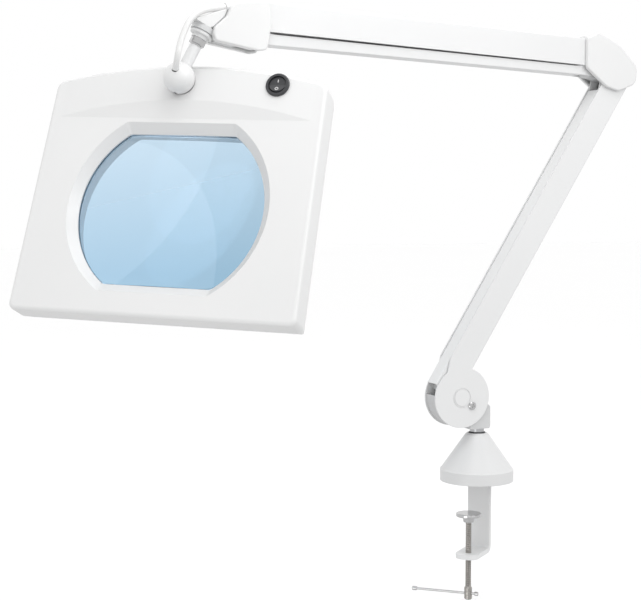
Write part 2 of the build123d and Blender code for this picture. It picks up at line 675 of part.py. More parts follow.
# ================================================================ arm end
NOSE = ((-262, 490.5), (-280.5, 490.5), (-285.5, 484.0), (-293.0, 477.0), (-301.0, 467.0), (-302.0, 461.0),
        (-300.0, 455.5), (-278, 450.5), (-268, 456))
EYE_TOP, EYE_END = -0.5, 5.0
RING_NUT_R = 6.5
RING_NUT_FROM, RING_NUT_TO = -6.4, -0.7
with BuildPart() as end_casting:
    with BuildSketch(side):
        add(lug(END_A, END_B, 8.4, 8.4))
        with BuildLine():
            Polyline(*NOSE, close=True)
        make_face()
        with Locations(END_A, END_B):
            Circle(PIN_R, mode=Mode.SUBTRACT)
    extrude(amount=CORE_Y, both=True)
    with BuildSketch(neck.offset(EYE_TOP)):
        Circle(EYE_R)
    extrude(amount=EYE_END - EYE_TOP)
    with BuildSketch(neck.offset(EYE_END)):
        Circle(EYE_R + 1.5)
    extrude(amount=8, mode=Mode.SUBTRACT)
    with BuildSketch(neck.offset(-20)):
        Circle(THREAD_R + RUNNING)
    extrude(amount=40, mode=Mode.SUBTRACT)
    with BuildSketch(neck.offset(EYE_TOP)):
        Circle(RING_NUT_R + 0.2)
    extrude(amount=-25, mode=Mode.SUBTRACT)
    add(gland_space.part, mode=Mode.SUBTRACT)
end_casting.part.label = "end_casting"
export_step(end_casting.part, "parts/end_casting.step")

KNUCKLE_HALF = 11.5
KNUCKLE = ((-301.6, 467.4), (-289.6, 478.2), (-285.9, 486.6), (-299.4, 482.6), (-308.6, 479.2),
           (-318.4, 476.4), (-325.4, 464.2), (-320.4, 459.6))
with BuildPart() as knuckle:
    with BuildSketch(side):
        with BuildLine():
            Polyline(*KNUCKLE, close=True)
        make_face()
    extrude(amount=KNUCKLE_HALF, both=True)
    fillet(knuckle.faces().filter_by(Axis.Y).edges(), 1.5)
    with BuildSketch(side):
        with BuildLine():
            Polyline(*NOSE, close=True)
        make_face()
    extrude(amount=CORE_Y, both=True, mode=Mode.SUBTRACT)
    with BuildSketch(neck.offset(EYE_TOP)):
        Circle(EYE_R + 20)
    extrude(amount=20, mode=Mode.SUBTRACT)
    with BuildSketch(neck.offset(-8)):
        Circle(RING_NUT_R + 0.2)
    extrude(amount=30, mode=Mode.SUBTRACT)
    add(gland_space.part, mode=Mode.SUBTRACT)
knuckle.part.label = "knuckle"
export_step(knuckle.part, "parts/knuckle.step")

with BuildPart() as end_pins:
    with BuildSketch(side):
        with Locations(END_A, END_B):
            Circle(PIN_R)
    extrude(amount=COVER_IN, both=True)
end_pins.part.label = "end_pins"
export_step(end_pins.part, "parts/end_pins.step")

END_OUTLINE = ((-245.0, 496.0), (-243.3, 472.0), (-248.0, 447.5), (-256.0, 446.2), (-301.0, 454.0),
               (-303.4, 461.0), (-301.8, 467.2), (-289.4, 478.2), (-285.4, 487.0), (-279.5, 491.6))
END_RADII = (2.0, 30.0, 4.0, 8.0, 5.0, 4.0, 5.0, 5.0, 5.0, 6.0)
END_RIM = ((-262, 440), (-262, 457), (-282, 478), (-276, 500), (-310, 500), (-310, 440))
with BuildPart() as neck_space:
    with BuildSketch(neck.offset(EYE_TOP - 0.1)):
        Circle(EYE_R + 0.3)
    extrude(amount=30)

end_cover_front = joint_cover(END_OUTLINE, END_RADII, 1, (END_A, END_B), END_RIM, CORE_Y + 0.1,
                              (neck_space.part, gland_space.part))
end_cover_front.part.label = "end_cover_front"
export_step(end_cover_front.part, "parts/end_cover_front.step")

end_cover_rear = joint_cover(END_OUTLINE, END_RADII, -1, (END_A, END_B), END_RIM, CORE_Y + 0.1,
                             (neck_space.part,))
end_cover_rear.part.label = "end_cover_rear"
export_step(end_cover_rear.part, "parts/end_cover_rear.step")

with BuildPart() as cable_gland:
    with BuildSketch(gland):
        Circle(GLAND_R)
        Circle(1.5, mode=Mode.SUBTRACT)
    extrude(amount=GLAND_LONG)
cable_gland.part.label = "cable_gland"
export_step(cable_gland.part, "parts/cable_gland.step")

# Cable: straight runs joined by tangent arcs as large as the shorter run allows
route = [Vector(*point) for point in CABLE_ROUTE]
bends = []
for before, here, after in zip(route, route[1:], route[2:]):
    turn = radians((here - before).get_angle(after - here))
    bends.append(0.45 * min((here - before).length, (after - here).length) / tan(turn / 2))
with BuildPart() as cable:
    with BuildLine() as cable_line:
        FilletPolyline(*route, radius=bends)
    cable_wire = cable_line.wire()
    with BuildSketch(Plane(origin=cable_wire @ 0, z_dir=cable_wire % 0)):
        Circle(CABLE_R)
    sweep(path=cable_wire)
section_volume = cable_wire.length * pi * CABLE_R ** 2
print("cable bend radii", [round(bend, 1) for bend in bends])
print("cable length", round(cable_wire.length, 1), "volume ratio", round(cable.part.volume / section_volume, 4))
cable.part.label = "cable"
export_step(cable.part, "parts/cable.step")

# ================================================================ neck and ball
NUT_FROM, NUT_TO = 12.0, 18.2
THREAD_TO = 19.6
TONGUE_FROM = 45.5
TONGUE_HALF = 3.8
tilt_dir = face_out.cross(NECK_DIR * -1).normalized()
tilt_plane = Plane(origin=BALL, x_dir=face_out, z_dir=tilt_dir)
with BuildPart() as neck_tube:
    with BuildSketch(neck.offset(RING_NUT_FROM)):
        Circle(THREAD_R)
    extrude(amount=THREAD_TO - RING_NUT_FROM)
    with BuildSketch(neck.offset(THREAD_TO)):
        Circle(NECK_R)
    extrude(amount=TONGUE_FROM - THREAD_TO)
    chamfer(neck_tube.edges().filter_by(GeomType.CIRCLE).filter_by(
        lambda e: abs(neck.to_local_coords(e.center()).Z - THREAD_TO) < 0.1 and e.radius > 5.5), 0.8)
    with BuildSketch(neck.offset(TONGUE_FROM)):
        Circle(4.0)
    extrude(amount=NECK_L - TONGUE_FROM)
    with BuildSketch(tilt_plane):
        Circle(5.2)
    extrude(amount=TONGUE_HALF, both=True)
    for flank in (-1, 1):
        with BuildSketch(tilt_plane.offset(flank * TONGUE_HALF)):
            Circle(9.2)
        extrude(amount=flank * 6, mode=Mode.SUBTRACT)
    with BuildSketch(tilt_plane):
        Circle(2.0 + RUNNING)
    extrude(amount=10, both=True, mode=Mode.SUBTRACT)
neck_tube.part.label = "neck_tube"
export_step(neck_tube.part, "parts/neck_tube.step")

with BuildPart() as neck_washer:
    with BuildSketch(neck.offset(EYE_END + 0.1)):
        Circle(11.4)
    extrude(amount=3.4)
    fillet(neck_washer.edges().filter_by(GeomType.CIRCLE), 1.0)
    with BuildSketch(neck.offset(EYE_END + 3.5)):
        Circle(8.2)
    extrude(amount=NUT_FROM - EYE_END - 3.5)
    with BuildSketch(neck.offset(EYE_END)):
        Circle(THREAD_R)
    extrude(amount=20, mode=Mode.SUBTRACT)
neck_washer.part.label = "neck_washer"
export_step(neck_washer.part, "parts/neck_washer.step")

with BuildPart() as neck_nut:
    with BuildSketch(neck.offset(NUT_FROM)):
        RegularPolygon(8.1, 6)
        Circle(THREAD_R, mode=Mode.SUBTRACT)
    extrude(amount=NUT_TO - NUT_FROM)
neck_nut.part.label = "neck_nut"
export_step(neck_nut.part, "parts/neck_nut.step")

with BuildPart() as ring_nut:
    with BuildSketch(neck.offset(RING_NUT_FROM)):
        Circle(RING_NUT_R)
    extrude(amount=RING_NUT_TO - RING_NUT_FROM)
    with BuildSketch(neck.offset(RING_NUT_FROM)):
        Rectangle(2 * RING_NUT_R + 1, 1.6)
        Rectangle(1.6, 2 * RING_NUT_R + 1)
    extrude(amount=1.6, mode=Mode.SUBTRACT)
    with BuildSketch(neck.offset(RING_NUT_FROM)):
        Circle(THREAD_R)
    extrude(amount=10, mode=Mode.SUBTRACT)
ring_nut.part.label = "ring_nut"
export_step(ring_nut.part, "parts/ring_nut.step")

SLOT_HALF = HUB_SHAFT_R + 0.3
SLOT_UP, SLOT_DOWN = 30.0, 90.0
with BuildPart() as ball:
    with Locations(BALL):
        Sphere(BALL_R)
        Sphere(BALL_R - BALL_WALL, mode=Mode.SUBTRACT)
    with BuildSketch(neck):
        Circle(NECK_R)
    extrude(amount=NECK_L - 6, mode=Mode.SUBTRACT)
    with BuildSketch(tilt_plane):
        with BuildLine():
            CenterArc((0, 0), 30, 180 - SLOT_UP, SLOT_UP + SLOT_DOWN)
            Line((0, 0), (-30 * cos(radians(SLOT_UP)), 30 * sin(radians(SLOT_UP))))
            Line((0, 0), (-30 * cos(radians(SLOT_DOWN)), -30 * sin(radians(SLOT_DOWN))))
        make_face()
    extrude(amount=SLOT_HALF, both=True, mode=Mode.SUBTRACT)
    with BuildSketch(Plane(origin=BALL, z_dir=gland_dir)):
        Circle(CABLE_R + 0.2)
    extrude(amount=BALL_R + 2, mode=Mode.SUBTRACT)
ball.part.label = "ball"
export_step(ball.part, "parts/ball.step")

# ================================================================ tilt fork inside the ball
FORK_REACH = 9.0
SHAFT_END = 34.0
with BuildPart() as tilt_fork:
    for ear in (-1, 1):
        with BuildSketch(tilt_plane.offset(ear * (TONGUE_HALF + 0.3))):
            Circle(5.6)
            with Locations((-FORK_REACH / 2, 0)):
                Rectangle(FORK_REACH, 8.4)
            Circle(2.0, mode=Mode.SUBTRACT)
        extrude(amount=ear * 2.1)
    with BuildSketch(tilt_plane):
        with Locations((-FORK_REACH, 0)):
            Rectangle(2.6, 8.4)
    extrude(amount=TONGUE_HALF + 2.4, both=True)
    with BuildSketch(hub.offset(-FORK_REACH)):
        Circle(HUB_SHAFT_R)
    extrude(amount=FORK_REACH - SHAFT_END)
tilt_fork.part.label = "tilt_fork"
export_step(tilt_fork.part, "parts/tilt_fork.step")

with BuildPart() as tilt_pin:
    with BuildSketch(tilt_plane):
        Circle(2.0)
    extrude(amount=TONGUE_HALF + 2.4, both=True)
tilt_pin.part.label = "tilt_pin"
export_step(tilt_pin.part, "parts/tilt_pin.step")

BEARING_END = -16.0
with BuildPart() as hub_nut:
    with BuildSketch(head.offset(BEARING_END - 0.1)):
        with Locations(HUB[:2]):
            RegularPolygon(7.0, 6)
            Circle(HUB_SHAFT_R, mode=Mode.SUBTRACT)
    extrude(amount=-3.6)
hub_nut.part.label = "hub_nut"
export_step(hub_nut.part, "parts/hub_nut.step")

# ================================================================ head shells
LIP_T = 1.2
LENS_SEAT = LENS_EDGE - LIP_T - 0.8      # front of the lens rim, behind lip and seal
LENS_HIDDEN = 2.0                        # lens rim covered by the lip
RETAINER = LENS_SEAT - LENS_EDGE_T
TUBE_GAP, TUBE_T = 0.3, 2.3
HEAD_SCREWS = ((-131, -96), (0, -101), (131, -96), (-126, 116), (74, 132), (126, 104))
RETAINER_SPOTS = [(103 * cos(radians(a)), 103 * sin(radians(a))) for a in (33, 147, 213, 327)]
BOARD_CENTRE = (-78.0, 117.0)
BOARD_POSTS = ((-110.0, 117.0), (-46.0, 117.0))
BOARD_W = -14.0
HUB_SCREWS = ((HUB[0] - 15.0, HUB[1]), (HUB[0] + 15.0, HUB[1]))
PLATE_W = -8.0


def head_outline(inset=0.0):
    """Outline of the head, seen from in front."""
    with BuildSketch() as outline:
        with BuildLine():
            Polyline((-HEAD_TOP_HALF, HEAD_SHOULDER), (-HEAD_BOTTOM_HALF, HEAD_BOTTOM),
                     (HEAD_BOTTOM_HALF, HEAD_BOTTOM), (HEAD_TOP_HALF, HEAD_SHOULDER))
            ThreePointArc((HEAD_TOP_HALF, HEAD_SHOULDER), (0, HEAD_TOP), (-HEAD_TOP_HALF, HEAD_SHOULDER))
        make_face()
        corners = outline.vertices().sort_by(Axis.Y)
        fillet(corners[:2], 7)
        fillet(outline.vertices().sort_by(Axis.Y)[-2:], 10)
        if inset:
            offset(amount=-inset, mode=Mode.REPLACE)
    return outline.sketch


def lens_outline(radius, half):
    """Circle with its top and bottom cut off flat."""
    with BuildSketch() as outline:
        Circle(radius)
        Rectangle(2 * radius, 2 * half, mode=Mode.INTERSECT)
        fillet(outline.vertices(), 7)
    return outline.sketch


TUBE_IN = lens_outline(LENS_R + LENS_HIDDEN + TUBE_GAP, LENS_HALF + LENS_HIDDEN + TUBE_GAP)
TUBE_OUT = lens_outline(LENS_R + LENS_HIDDEN + TUBE_GAP + TUBE_T, LENS_HALF + LENS_HIDDEN + TUBE_GAP + TUBE_T)
BAND_CHORD, BAND_RISE = 91.0, 18.0
EDGE_ROUND = 4.0
BULGE_HALF = 131.0
SWITCH_SEAT = 1.6
with BuildPart() as bulge:
    with BuildSketch(head.offset(-1)):
        add(head_outline(3.0))
        with Locations((0, BAND_CHORD + 90)):
            Rectangle(400, 200, mode=Mode.INTERSECT)
    extrude(amount=BAND_H + 2, taper=30)
    with BuildSketch(Plane(origin=head.from_local_coords(Vector(0, 80, 0)), x_dir=face_right, z_dir=face_up)):
        with BuildLine():
            ThreePointArc((-BULGE_HALF, 0), (0, -BAND_H), (BULGE_HALF, 0))
            Polyline((BULGE_HALF, 0), (160, 0), (160, -20), (-160, -20), (-160, 0), (-BULGE_HALF, 0))
        make_face()
    extrude(amount=100, mode=Mode.SUBTRACT)
    with BuildSketch(Plane(origin=lens_centre, x_dir=face_up, z_dir=face_right)):
        with BuildLine():
            Polyline((BAND_CHORD - 20, -5), (BAND_CHORD - 1, -5), (BAND_CHORD, 0),
                     (BAND_CHORD + 2 * BAND_RISE, 2 * BAND_H), (BAND_CHORD - 20, 2 * BAND_H), close=True)
        make_face()
    extrude(amount=200, both=True, mode=Mode.SUBTRACT)

with BuildPart() as front_shell:
    with BuildSketch(head.offset(SPLIT)):
        add(head_outline())
    extrude(amount=-SPLIT)
    fillet(front_shell.faces().sort_by(Axis(head.origin, face_out))[-1].edges(), EDGE_ROUND)
    add(bulge.part)
    with BuildSketch(head.offset(SPLIT)):
        add(head_outline(WALL))
    extrude(amount=RETAINER - SPLIT, mode=Mode.SUBTRACT)
    with BuildSketch(head.offset(RETAINER)):
        add(head_outline(WALL))
        add(TUBE_OUT, mode=Mode.SUBTRACT)
        add(TUBE_IN)
    extrude(amount=LENS_EDGE - LIP_T - RETAINER, mode=Mode.SUBTRACT)
    with BuildSketch(head.offset(LENS_EDGE - LIP_T)):
        add(head_outline(WALL))
        add(lens_outline(LENS_R + BEVEL + WALL, LENS_HALF + BEVEL + WALL + 1), mode=Mode.SUBTRACT)
    extrude(amount=-WALL - (LENS_EDGE - LIP_T), mode=Mode.SUBTRACT)
    with BuildSketch(head.offset(-WALL)):
        add(head_outline(WALL + EDGE_ROUND + 0.5))
        with Locations((0, BAND_CHORD + BAND_RISE + 4 + 50)):
            Rectangle(140, 100, mode=Mode.INTERSECT)
    extrude(amount=WALL + 0.6, mode=Mode.SUBTRACT)
    with BuildSketch(head):
        add(lens_outline(LENS_R + BEVEL - 0.3, LENS_HALF + BEVEL + 0.7))
    with BuildSketch(head.offset(LENS_EDGE)):
        add(lens_outline(LENS_R, LENS_HALF))
    loft(mode=Mode.SUBTRACT)
    with BuildSketch(head.offset(LENS_EDGE)):
        add(lens_outline(LENS_R, LENS_HALF))
    extrude(amount=-LIP_T, mode=Mode.SUBTRACT)
    with BuildSketch(head.offset(-WALL / 2)):
        with Locations(*HEAD_SCREWS):
            Circle(4.2)
    extrude(amount=SPLIT + WALL / 2)
    with BuildSketch(head.offset(LENS_EDGE - 0.5)):
        with Locations(*RETAINER_SPOTS):
            Circle(3.6)
    extrude(amount=RETAINER - LENS_EDGE + 0.5)
    with BuildSketch(head.offset(1)):
        with Locations(*BOARD_POSTS):
            Circle(3.2)
    extrude(amount=BOARD_W - 1)
    with BuildSketch(head.offset(BAND_H - WALL)):
        with Locations(HUB[:2]):
            Circle(19)
    extrude(amount=PLATE_W - BAND_H + WALL)
    with Locations(BALL):
        Sphere(BALL_R + 0.7, mode=Mode.SUBTRACT)
    with BuildSketch(hub):
        Circle(HUB_SHAFT_R + RUNNING)
    extrude(amount=-40, mode=Mode.SUBTRACT)
    with BuildSketch(head.offset(BAND_H)):
        with Locations(SWITCH):
            Circle(9.8)
    extrude(amount=-20, mode=Mode.SUBTRACT)
    with BuildSketch(head.offset(SWITCH_SEAT)):
        with Locations(SWITCH):
            Circle(SWITCH_R)
    extrude(amount=10, mode=Mode.SUBTRACT)
    for spots, radius, start, depth in ((HEAD_SCREWS, 1.5, SPLIT, 12), (RETAINER_SPOTS, 1.2, RETAINER, 7),
                                        (BOARD_POSTS, 1.2, BOARD_W, 7), (HUB_SCREWS, 1.2, PLATE_W, 6)):
        with BuildSketch(head.offset(start)):
            with Locations(*spots):
                Circle(radius)
        extrude(amount=depth, mode=Mode.SUBTRACT)
front_shell.part.label = "front_shell"
export_step(front_shell.part, "parts/front_shell.step")

REAR_TAPER = 14.0
WINDOW = (22.0, 130.0)
WINDOW_U, WINDOW_V = 117.0, -8.0
LED_POST_V = 71.0
LED_POSTS = [(side_u * WINDOW_U, WINDOW_V + up * LED_POST_V) for side_u in (-1, 1) for up in (-1, 1)]
LED_W = -31.6
with BuildPart() as rear_shell:
    with BuildSketch(head.offset(SPLIT)):
        add(head_outline())
    extrude(amount=-(HEAD_DEPTH + SPLIT), taper=REAR_TAPER)
    fillet(rear_shell.faces().sort_by(Axis(head.origin, face_out))[0].edges(), 2.5)
    with BuildSketch(head.offset(SPLIT)):
        add(head_outline(WALL))
    extrude(amount=-(HEAD_DEPTH + SPLIT - WALL), taper=REAR_TAPER, mode=Mode.SUBTRACT)
    with BuildSketch(head.offset(-HEAD_DEPTH + 8)):
        add(lens_outline(LENS_R + 5.5, LENS_HALF + 5.5))
    extrude(amount=-8)
    with BuildSketch(head.offset(-HEAD_DEPTH)):
        add(lens_outline(LENS_R + 3, LENS_HALF + 3))
        with Locations((-WINDOW_U, WINDOW_V), (WINDOW_U, WINDOW_V)):
            RectangleRounded(*WINDOW, 5)
    extrude(amount=20, mode=Mode.SUBTRACT)
    with BuildSketch(head.offset(SPLIT)):
        with Locations(*HEAD_SCREWS):
            Circle(4.2)
    extrude(amount=-(HEAD_DEPTH + SPLIT - WALL / 2))
    with BuildSketch(head.offset(LED_W)):
        with Locations(*LED_POSTS):
            Circle(3.0)
    extrude(amount=-(HEAD_DEPTH + LED_W - WALL / 2))
    with BuildSketch(head.offset(SPLIT)):
        with Locations(*HEAD_SCREWS):
            Circle(1.6)
    extrude(amount=-40, mode=Mode.SUBTRACT)
    with BuildSketch(head.offset(-HEAD_DEPTH)):
        with Locations(*HEAD_SCREWS):
            Circle(3.1)
    extrude(amount=2.6, mode=Mode.SUBTRACT)
    with BuildSketch(head.offset(LED_W)):
        with Locations(*LED_POSTS):
            Circle(1.2)
    extrude(amount=-7, mode=Mode.SUBTRACT)
rear_shell.part.label = "rear_shell"
export_step(rear_shell.part, "parts/rear_shell.step")

with BuildPart() as shell_screws:
    with BuildSketch(head.offset(-HEAD_DEPTH + 0.6)):
        with Locations(*HEAD_SCREWS):
            Circle(2.8)
    extrude(amount=2.0)
    with BuildSketch(head.offset(-HEAD_DEPTH + 2.6)):
        with Locations(*HEAD_SCREWS):
            Circle(1.5)
    extrude(amount=HEAD_DEPTH - 2.6 + SPLIT + 11.5)
    with BuildSketch(head.offset(-HEAD_DEPTH + 0.6)):
        with Locations(*HEAD_SCREWS):
            Rectangle(3.4, 0.8)
            Rectangle(0.8, 3.4)
    extrude(amount=1.0, mode=Mode.SUBTRACT)
shell_screws.part.label = "shell_screws"
export_step(shell_screws.part, "parts/shell_screws.step")

# ================================================================ lens
FRONT_SAG, REAR_SAG = 6.0, 10.0
GLASS_R = LENS_R + LENS_HIDDEN
front_ball = (GLASS_R ** 2 + FRONT_SAG ** 2) / (2 * FRONT_SAG)
rear_ball = (GLASS_R ** 2 + REAR_SAG ** 2) / (2 * REAR_SAG)
with BuildPart() as lens:
    with BuildSketch(head.offset(RETAINER - REAR_SAG - 1)):
        add(lens_outline(GLASS_R, LENS_HALF + LENS_HIDDEN))
    extrude(amount=LENS_EDGE_T + FRONT_SAG + REAR_SAG + 2)
    with Locations(lens_centre + face_out * (LENS_SEAT + FRONT_SAG - front_ball)):
        Sphere(front_ball, mode=Mode.INTERSECT)
    with Locations(lens_centre + face_out * (RETAINER - REAR_SAG + rear_ball)):
        Sphere(rear_ball, mode=Mode.INTERSECT)
    for seat, away in ((LENS_SEAT, 12), (RETAINER, -12)):
        with BuildSketch(head.offset(seat)):
            add(lens_outline(GLASS_R + 5, LENS_HALF + LENS_HIDDEN + 5))
            add(lens_outline(LENS_R - 0.3, LENS_HALF - 0.3), mode=Mode.SUBTRACT)
        extrude(amount=away, mode=Mode.SUBTRACT)
lens.part.label = "lens"
export_step(lens.part, "parts/lens.step")

with BuildPart() as lens_seal:
    with BuildSketch(head.offset(LENS_SEAT)):
        add(lens_outline(GLASS_R, LENS_HALF + LENS_HIDDEN))
        add(lens_outline(LENS_R + 0.2, LENS_HALF + 0.2), mode=Mode.SUBTRACT)
    extrude(amount=LENS_EDGE - LIP_T - LENS_SEAT)
lens_seal.part.label = "lens_seal"
export_step(lens_seal.part, "parts/lens_seal.step")

RETAINER_T = 2.0
with BuildPart() as lens_retainer:
    with BuildSketch(head.offset(RETAINER)):
        add(TUBE_OUT)
        with Locations(*RETAINER_SPOTS):
            Circle(4.4)
        add(lens_outline(LENS_R, LENS_HALF), mode=Mode.SUBTRACT)
        with Locations(*RETAINER_SPOTS):
            Circle(1.3, mode=Mode.SUBTRACT)
    extrude(amount=-RETAINER_T)
lens_retainer.part.label = "lens_retainer"
export_step(lens_retainer.part, "parts/lens_retainer.step")


def small_screws(spots, seat, outward, reach):
    """Pan-head screws: seat is the height of the face under the head."""
    with BuildPart() as screws:
        with BuildSketch(head.offset(seat)):
            with Locations(*spots):
                Circle(2.3)
        extrude(amount=outward * 1.6)
        with BuildSketch(head.offset(seat)):
            with Locations(*spots):
                Circle(1.2)
        extrude(amount=-outward * reach)
        with BuildSketch(head.offset(seat + outward * 1.6)):
            with Locations(*spots):
                Rectangle(2.8, 0.6)
                Rectangle(0.6, 2.8)
        extrude(amount=-outward * 0.8, mode=Mode.SUBTRACT)
    return screws


retainer_screws = small_screws(RETAINER_SPOTS, RETAINER - RETAINER_T, -1, 8.5)
retainer_screws.part.label = "retainer_screws"
export_step(retainer_screws.part, "parts/retainer_screws.step")

# ================================================================ light
with BuildPart() as diffusers:
    with BuildSketch(head.offset(-HEAD_DEPTH + 0.3)):
        with Locations((-WINDOW_U, WINDOW_V), (WINDOW_U, WINDOW_V)):
            RectangleRounded(WINDOW[0], WINDOW[1], 5)
    extrude(amount=WALL - 0.3)
    with BuildSketch(head.offset(-HEAD_DEPTH + WALL)):
        with Locations((-WINDOW_U, WINDOW_V), (WINDOW_U, WINDOW_V)):
            RectangleRounded(WINDOW[0] + 3, WINDOW[1] + 3, 6)
    extrude(amount=1.5)
diffusers.part.label = "diffusers"
export_step(diffusers.part, "parts/diffusers.step")

with BuildPart() as led_boards:
    with BuildSketch(head.offset(LED_W)):
        with Locations((-WINDOW_U, WINDOW_V), (WINDOW_U, WINDOW_V)):
            Rectangle(16, 2 * LED_POST_V + 8)
        with Locations(*LED_POSTS):
            Circle(1.3, mode=Mode.SUBTRACT)
    extrude(amount=1.6)
led_boards.part.label = "led_boards"
export_step(led_boards.part, "parts/led_boards.step")

with BuildPart() as leds:
    with BuildSketch(head.offset(LED_W)):
        for bank in (-1, 1):
            with Locations((bank * WINDOW_U, WINDOW_V)):
                with GridLocations(0, 11, 1, 11):
                    Rectangle(5, 5)
    extrude(amount=-1.2)
leds.part.label = "leds"
export_step(leds.part, "parts/leds.step")

led_screws = small_screws(LED_POSTS, LED_W + 1.6, 1, 7.5)
led_screws.part.label = "led_screws"
export_step(led_screws.part, "parts/led_screws.step")

with BuildPart() as driver_board:
    with BuildSketch(head.offset(BOARD_W)):
        with Locations(BOARD_CENTRE):
            Rectangle(74, 24)
        with Locations(*BOARD_POSTS):
            Circle(1.3, mode=Mode.SUBTRACT)
    extrude(amount=-1.6)
driver_board.part.label = "driver_board"
export_step(driver_board.part, "parts/driver_board.step")

with BuildPart() as driver_parts:
    with BuildSketch(head.offset(BOARD_W - 1.6)):
        with Locations((BOARD_CENTRE[0] + 8, BOARD_CENTRE[1])):
            Rectangle(16, 15)
        with Locations((BOARD_CENTRE[0] - 20, BOARD_CENTRE[1])):
            Rectangle(9, 18)
    extrude(amount=-11)
    with BuildSketch(head.offset(BOARD_W - 1.6)):
        with Locations((BOARD_CENTRE[0] - 7, BOARD_CENTRE[1] + 4)):
            Circle(4)
    extrude(amount=-12)
driver_parts.part.label = "driver_parts"
export_step(driver_parts.part, "parts/driver_parts.step")

driver_screws = small_screws(BOARD_POSTS, BOARD_W - 1.6, -1, 8)
driver_screws.part.label = "driver_screws"
export_step(driver_screws.part, "parts/driver_screws.step")

# ================================================================ hub bearing
with BuildPart() as hub_plate:
    with BuildSketch(head.offset(PLATE_W)):
        with Locations(HUB[:2]):
            RectangleRounded(40, 20, 4)
            Circle(HUB_SHAFT_R + RUNNING, mode=Mode.SUBTRACT)
        with Locations(*HUB_SCREWS):
            Circle(1.3, mode=Mode.SUBTRACT)
    extrude(amount=-2)
    with BuildSketch(head.offset(PLATE_W - 2)):
        with Locations(HUB[:2]):
            Circle(8)
            Circle(HUB_SHAFT_R + RUNNING, mode=Mode.SUBTRACT)
    extrude(amount=BEARING_END - PLATE_W + 2)
hub_plate.part.label = "hub_plate"
export_step(hub_plate.part, "parts/hub_plate.step")

hub_screws = small_screws(HUB_SCREWS, PLATE_W - 2, -1, 7)
hub_screws.part.label = "hub_screws"
export_step(hub_screws.part, "parts/hub_screws.step")

# ================================================================ rocker switch
ROCKER_R = 8.6
ROCKER_W = 0.4             # hinge height of the rocker
ROCKER_THROW = 18.0
rocker_centre = head.from_local_coords(Vector(SWITCH[0], SWITCH[1], ROCKER_W))
rocker_side = Plane(origin=rocker_centre, x_dir=face_up, z_dir=face_right)
with BuildPart() as switch_bezel:
    with BuildSketch(head.offset(SWITCH_SEAT)):
        with Locations(SWITCH):
            Circle(SWITCH_R)
    extrude(amount=2.8)
    fillet(switch_bezel.faces().sort_by(Axis(head.origin, face_out))[-1].edges(), 1.2)
    with BuildSketch(head.offset(SWITCH_SEAT)):
        with Locations(SWITCH):
            Circle(9.8)
    extrude(amount=-17)
    with BuildSketch(head.offset(SWITCH_SEAT + 2.8)):
        with Locations(SWITCH):
            Circle(ROCKER_R + 0.25)
    extrude(amount=-14, mode=Mode.SUBTRACT)
    with BuildSketch(rocker_side):
        Circle(1.2 + RUNNING)
    extrude(amount=9.4, both=True, mode=Mode.SUBTRACT)
switch_bezel.part.label = "switch_bezel"
export_step(switch_bezel.part, "parts/switch_bezel.step")

with BuildPart() as rocker:
    with Locations(rocker_centre):
        Sphere(ROCKER_R)
    with BuildSketch(rocker_side):
        with BuildLine():
            Polyline((0, 2.2), (12, 2.2), (12, 20), (-12, 20), (-12, 2.2 + 12 * tan(radians(ROCKER_THROW))),
                     close=True)
        make_face()
    extrude(amount=12, both=True, mode=Mode.SUBTRACT)
    with BuildSketch(rocker_side):
        with Locations((0, -14)):
            Rectangle(30, 20)
    extrude(amount=12, both=True, mode=Mode.SUBTRACT)
    with BuildSketch(rocker_side):
        Circle(1.2)
    extrude(amount=9.2, both=True)
rocker.part.label = "rocker"
export_step(rocker.part, "parts/rocker.step")
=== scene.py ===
"""Clamp-on magnifying lamp: materials, springs, threads, lens, cable, studio and camera."""

import json
from math import cos, pi, radians, sin, sqrt

import bmesh
import bpy
from mathutils import Matrix, Vector


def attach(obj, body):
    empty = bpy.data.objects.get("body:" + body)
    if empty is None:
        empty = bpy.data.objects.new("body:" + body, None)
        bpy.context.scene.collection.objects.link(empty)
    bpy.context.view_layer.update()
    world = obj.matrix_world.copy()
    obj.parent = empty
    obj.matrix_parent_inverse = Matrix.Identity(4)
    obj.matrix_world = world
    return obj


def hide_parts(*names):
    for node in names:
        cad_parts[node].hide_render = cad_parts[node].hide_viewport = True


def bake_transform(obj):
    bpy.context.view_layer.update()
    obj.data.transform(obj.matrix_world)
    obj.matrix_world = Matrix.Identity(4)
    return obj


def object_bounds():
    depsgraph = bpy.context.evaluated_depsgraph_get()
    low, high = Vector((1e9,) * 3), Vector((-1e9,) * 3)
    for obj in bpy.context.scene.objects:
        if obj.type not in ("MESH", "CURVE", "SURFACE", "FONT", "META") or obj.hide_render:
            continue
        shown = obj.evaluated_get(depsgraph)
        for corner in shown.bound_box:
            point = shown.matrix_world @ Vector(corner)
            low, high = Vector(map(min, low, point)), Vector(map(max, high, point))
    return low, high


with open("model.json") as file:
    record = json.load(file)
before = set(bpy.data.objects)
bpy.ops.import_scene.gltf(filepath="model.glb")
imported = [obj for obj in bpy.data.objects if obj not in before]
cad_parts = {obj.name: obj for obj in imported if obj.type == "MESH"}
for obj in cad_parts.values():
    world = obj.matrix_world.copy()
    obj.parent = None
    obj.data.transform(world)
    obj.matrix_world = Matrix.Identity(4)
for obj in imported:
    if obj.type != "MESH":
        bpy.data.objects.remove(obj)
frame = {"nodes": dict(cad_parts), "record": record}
cad_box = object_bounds()
scene = bpy.context.scene
MM = 0.001

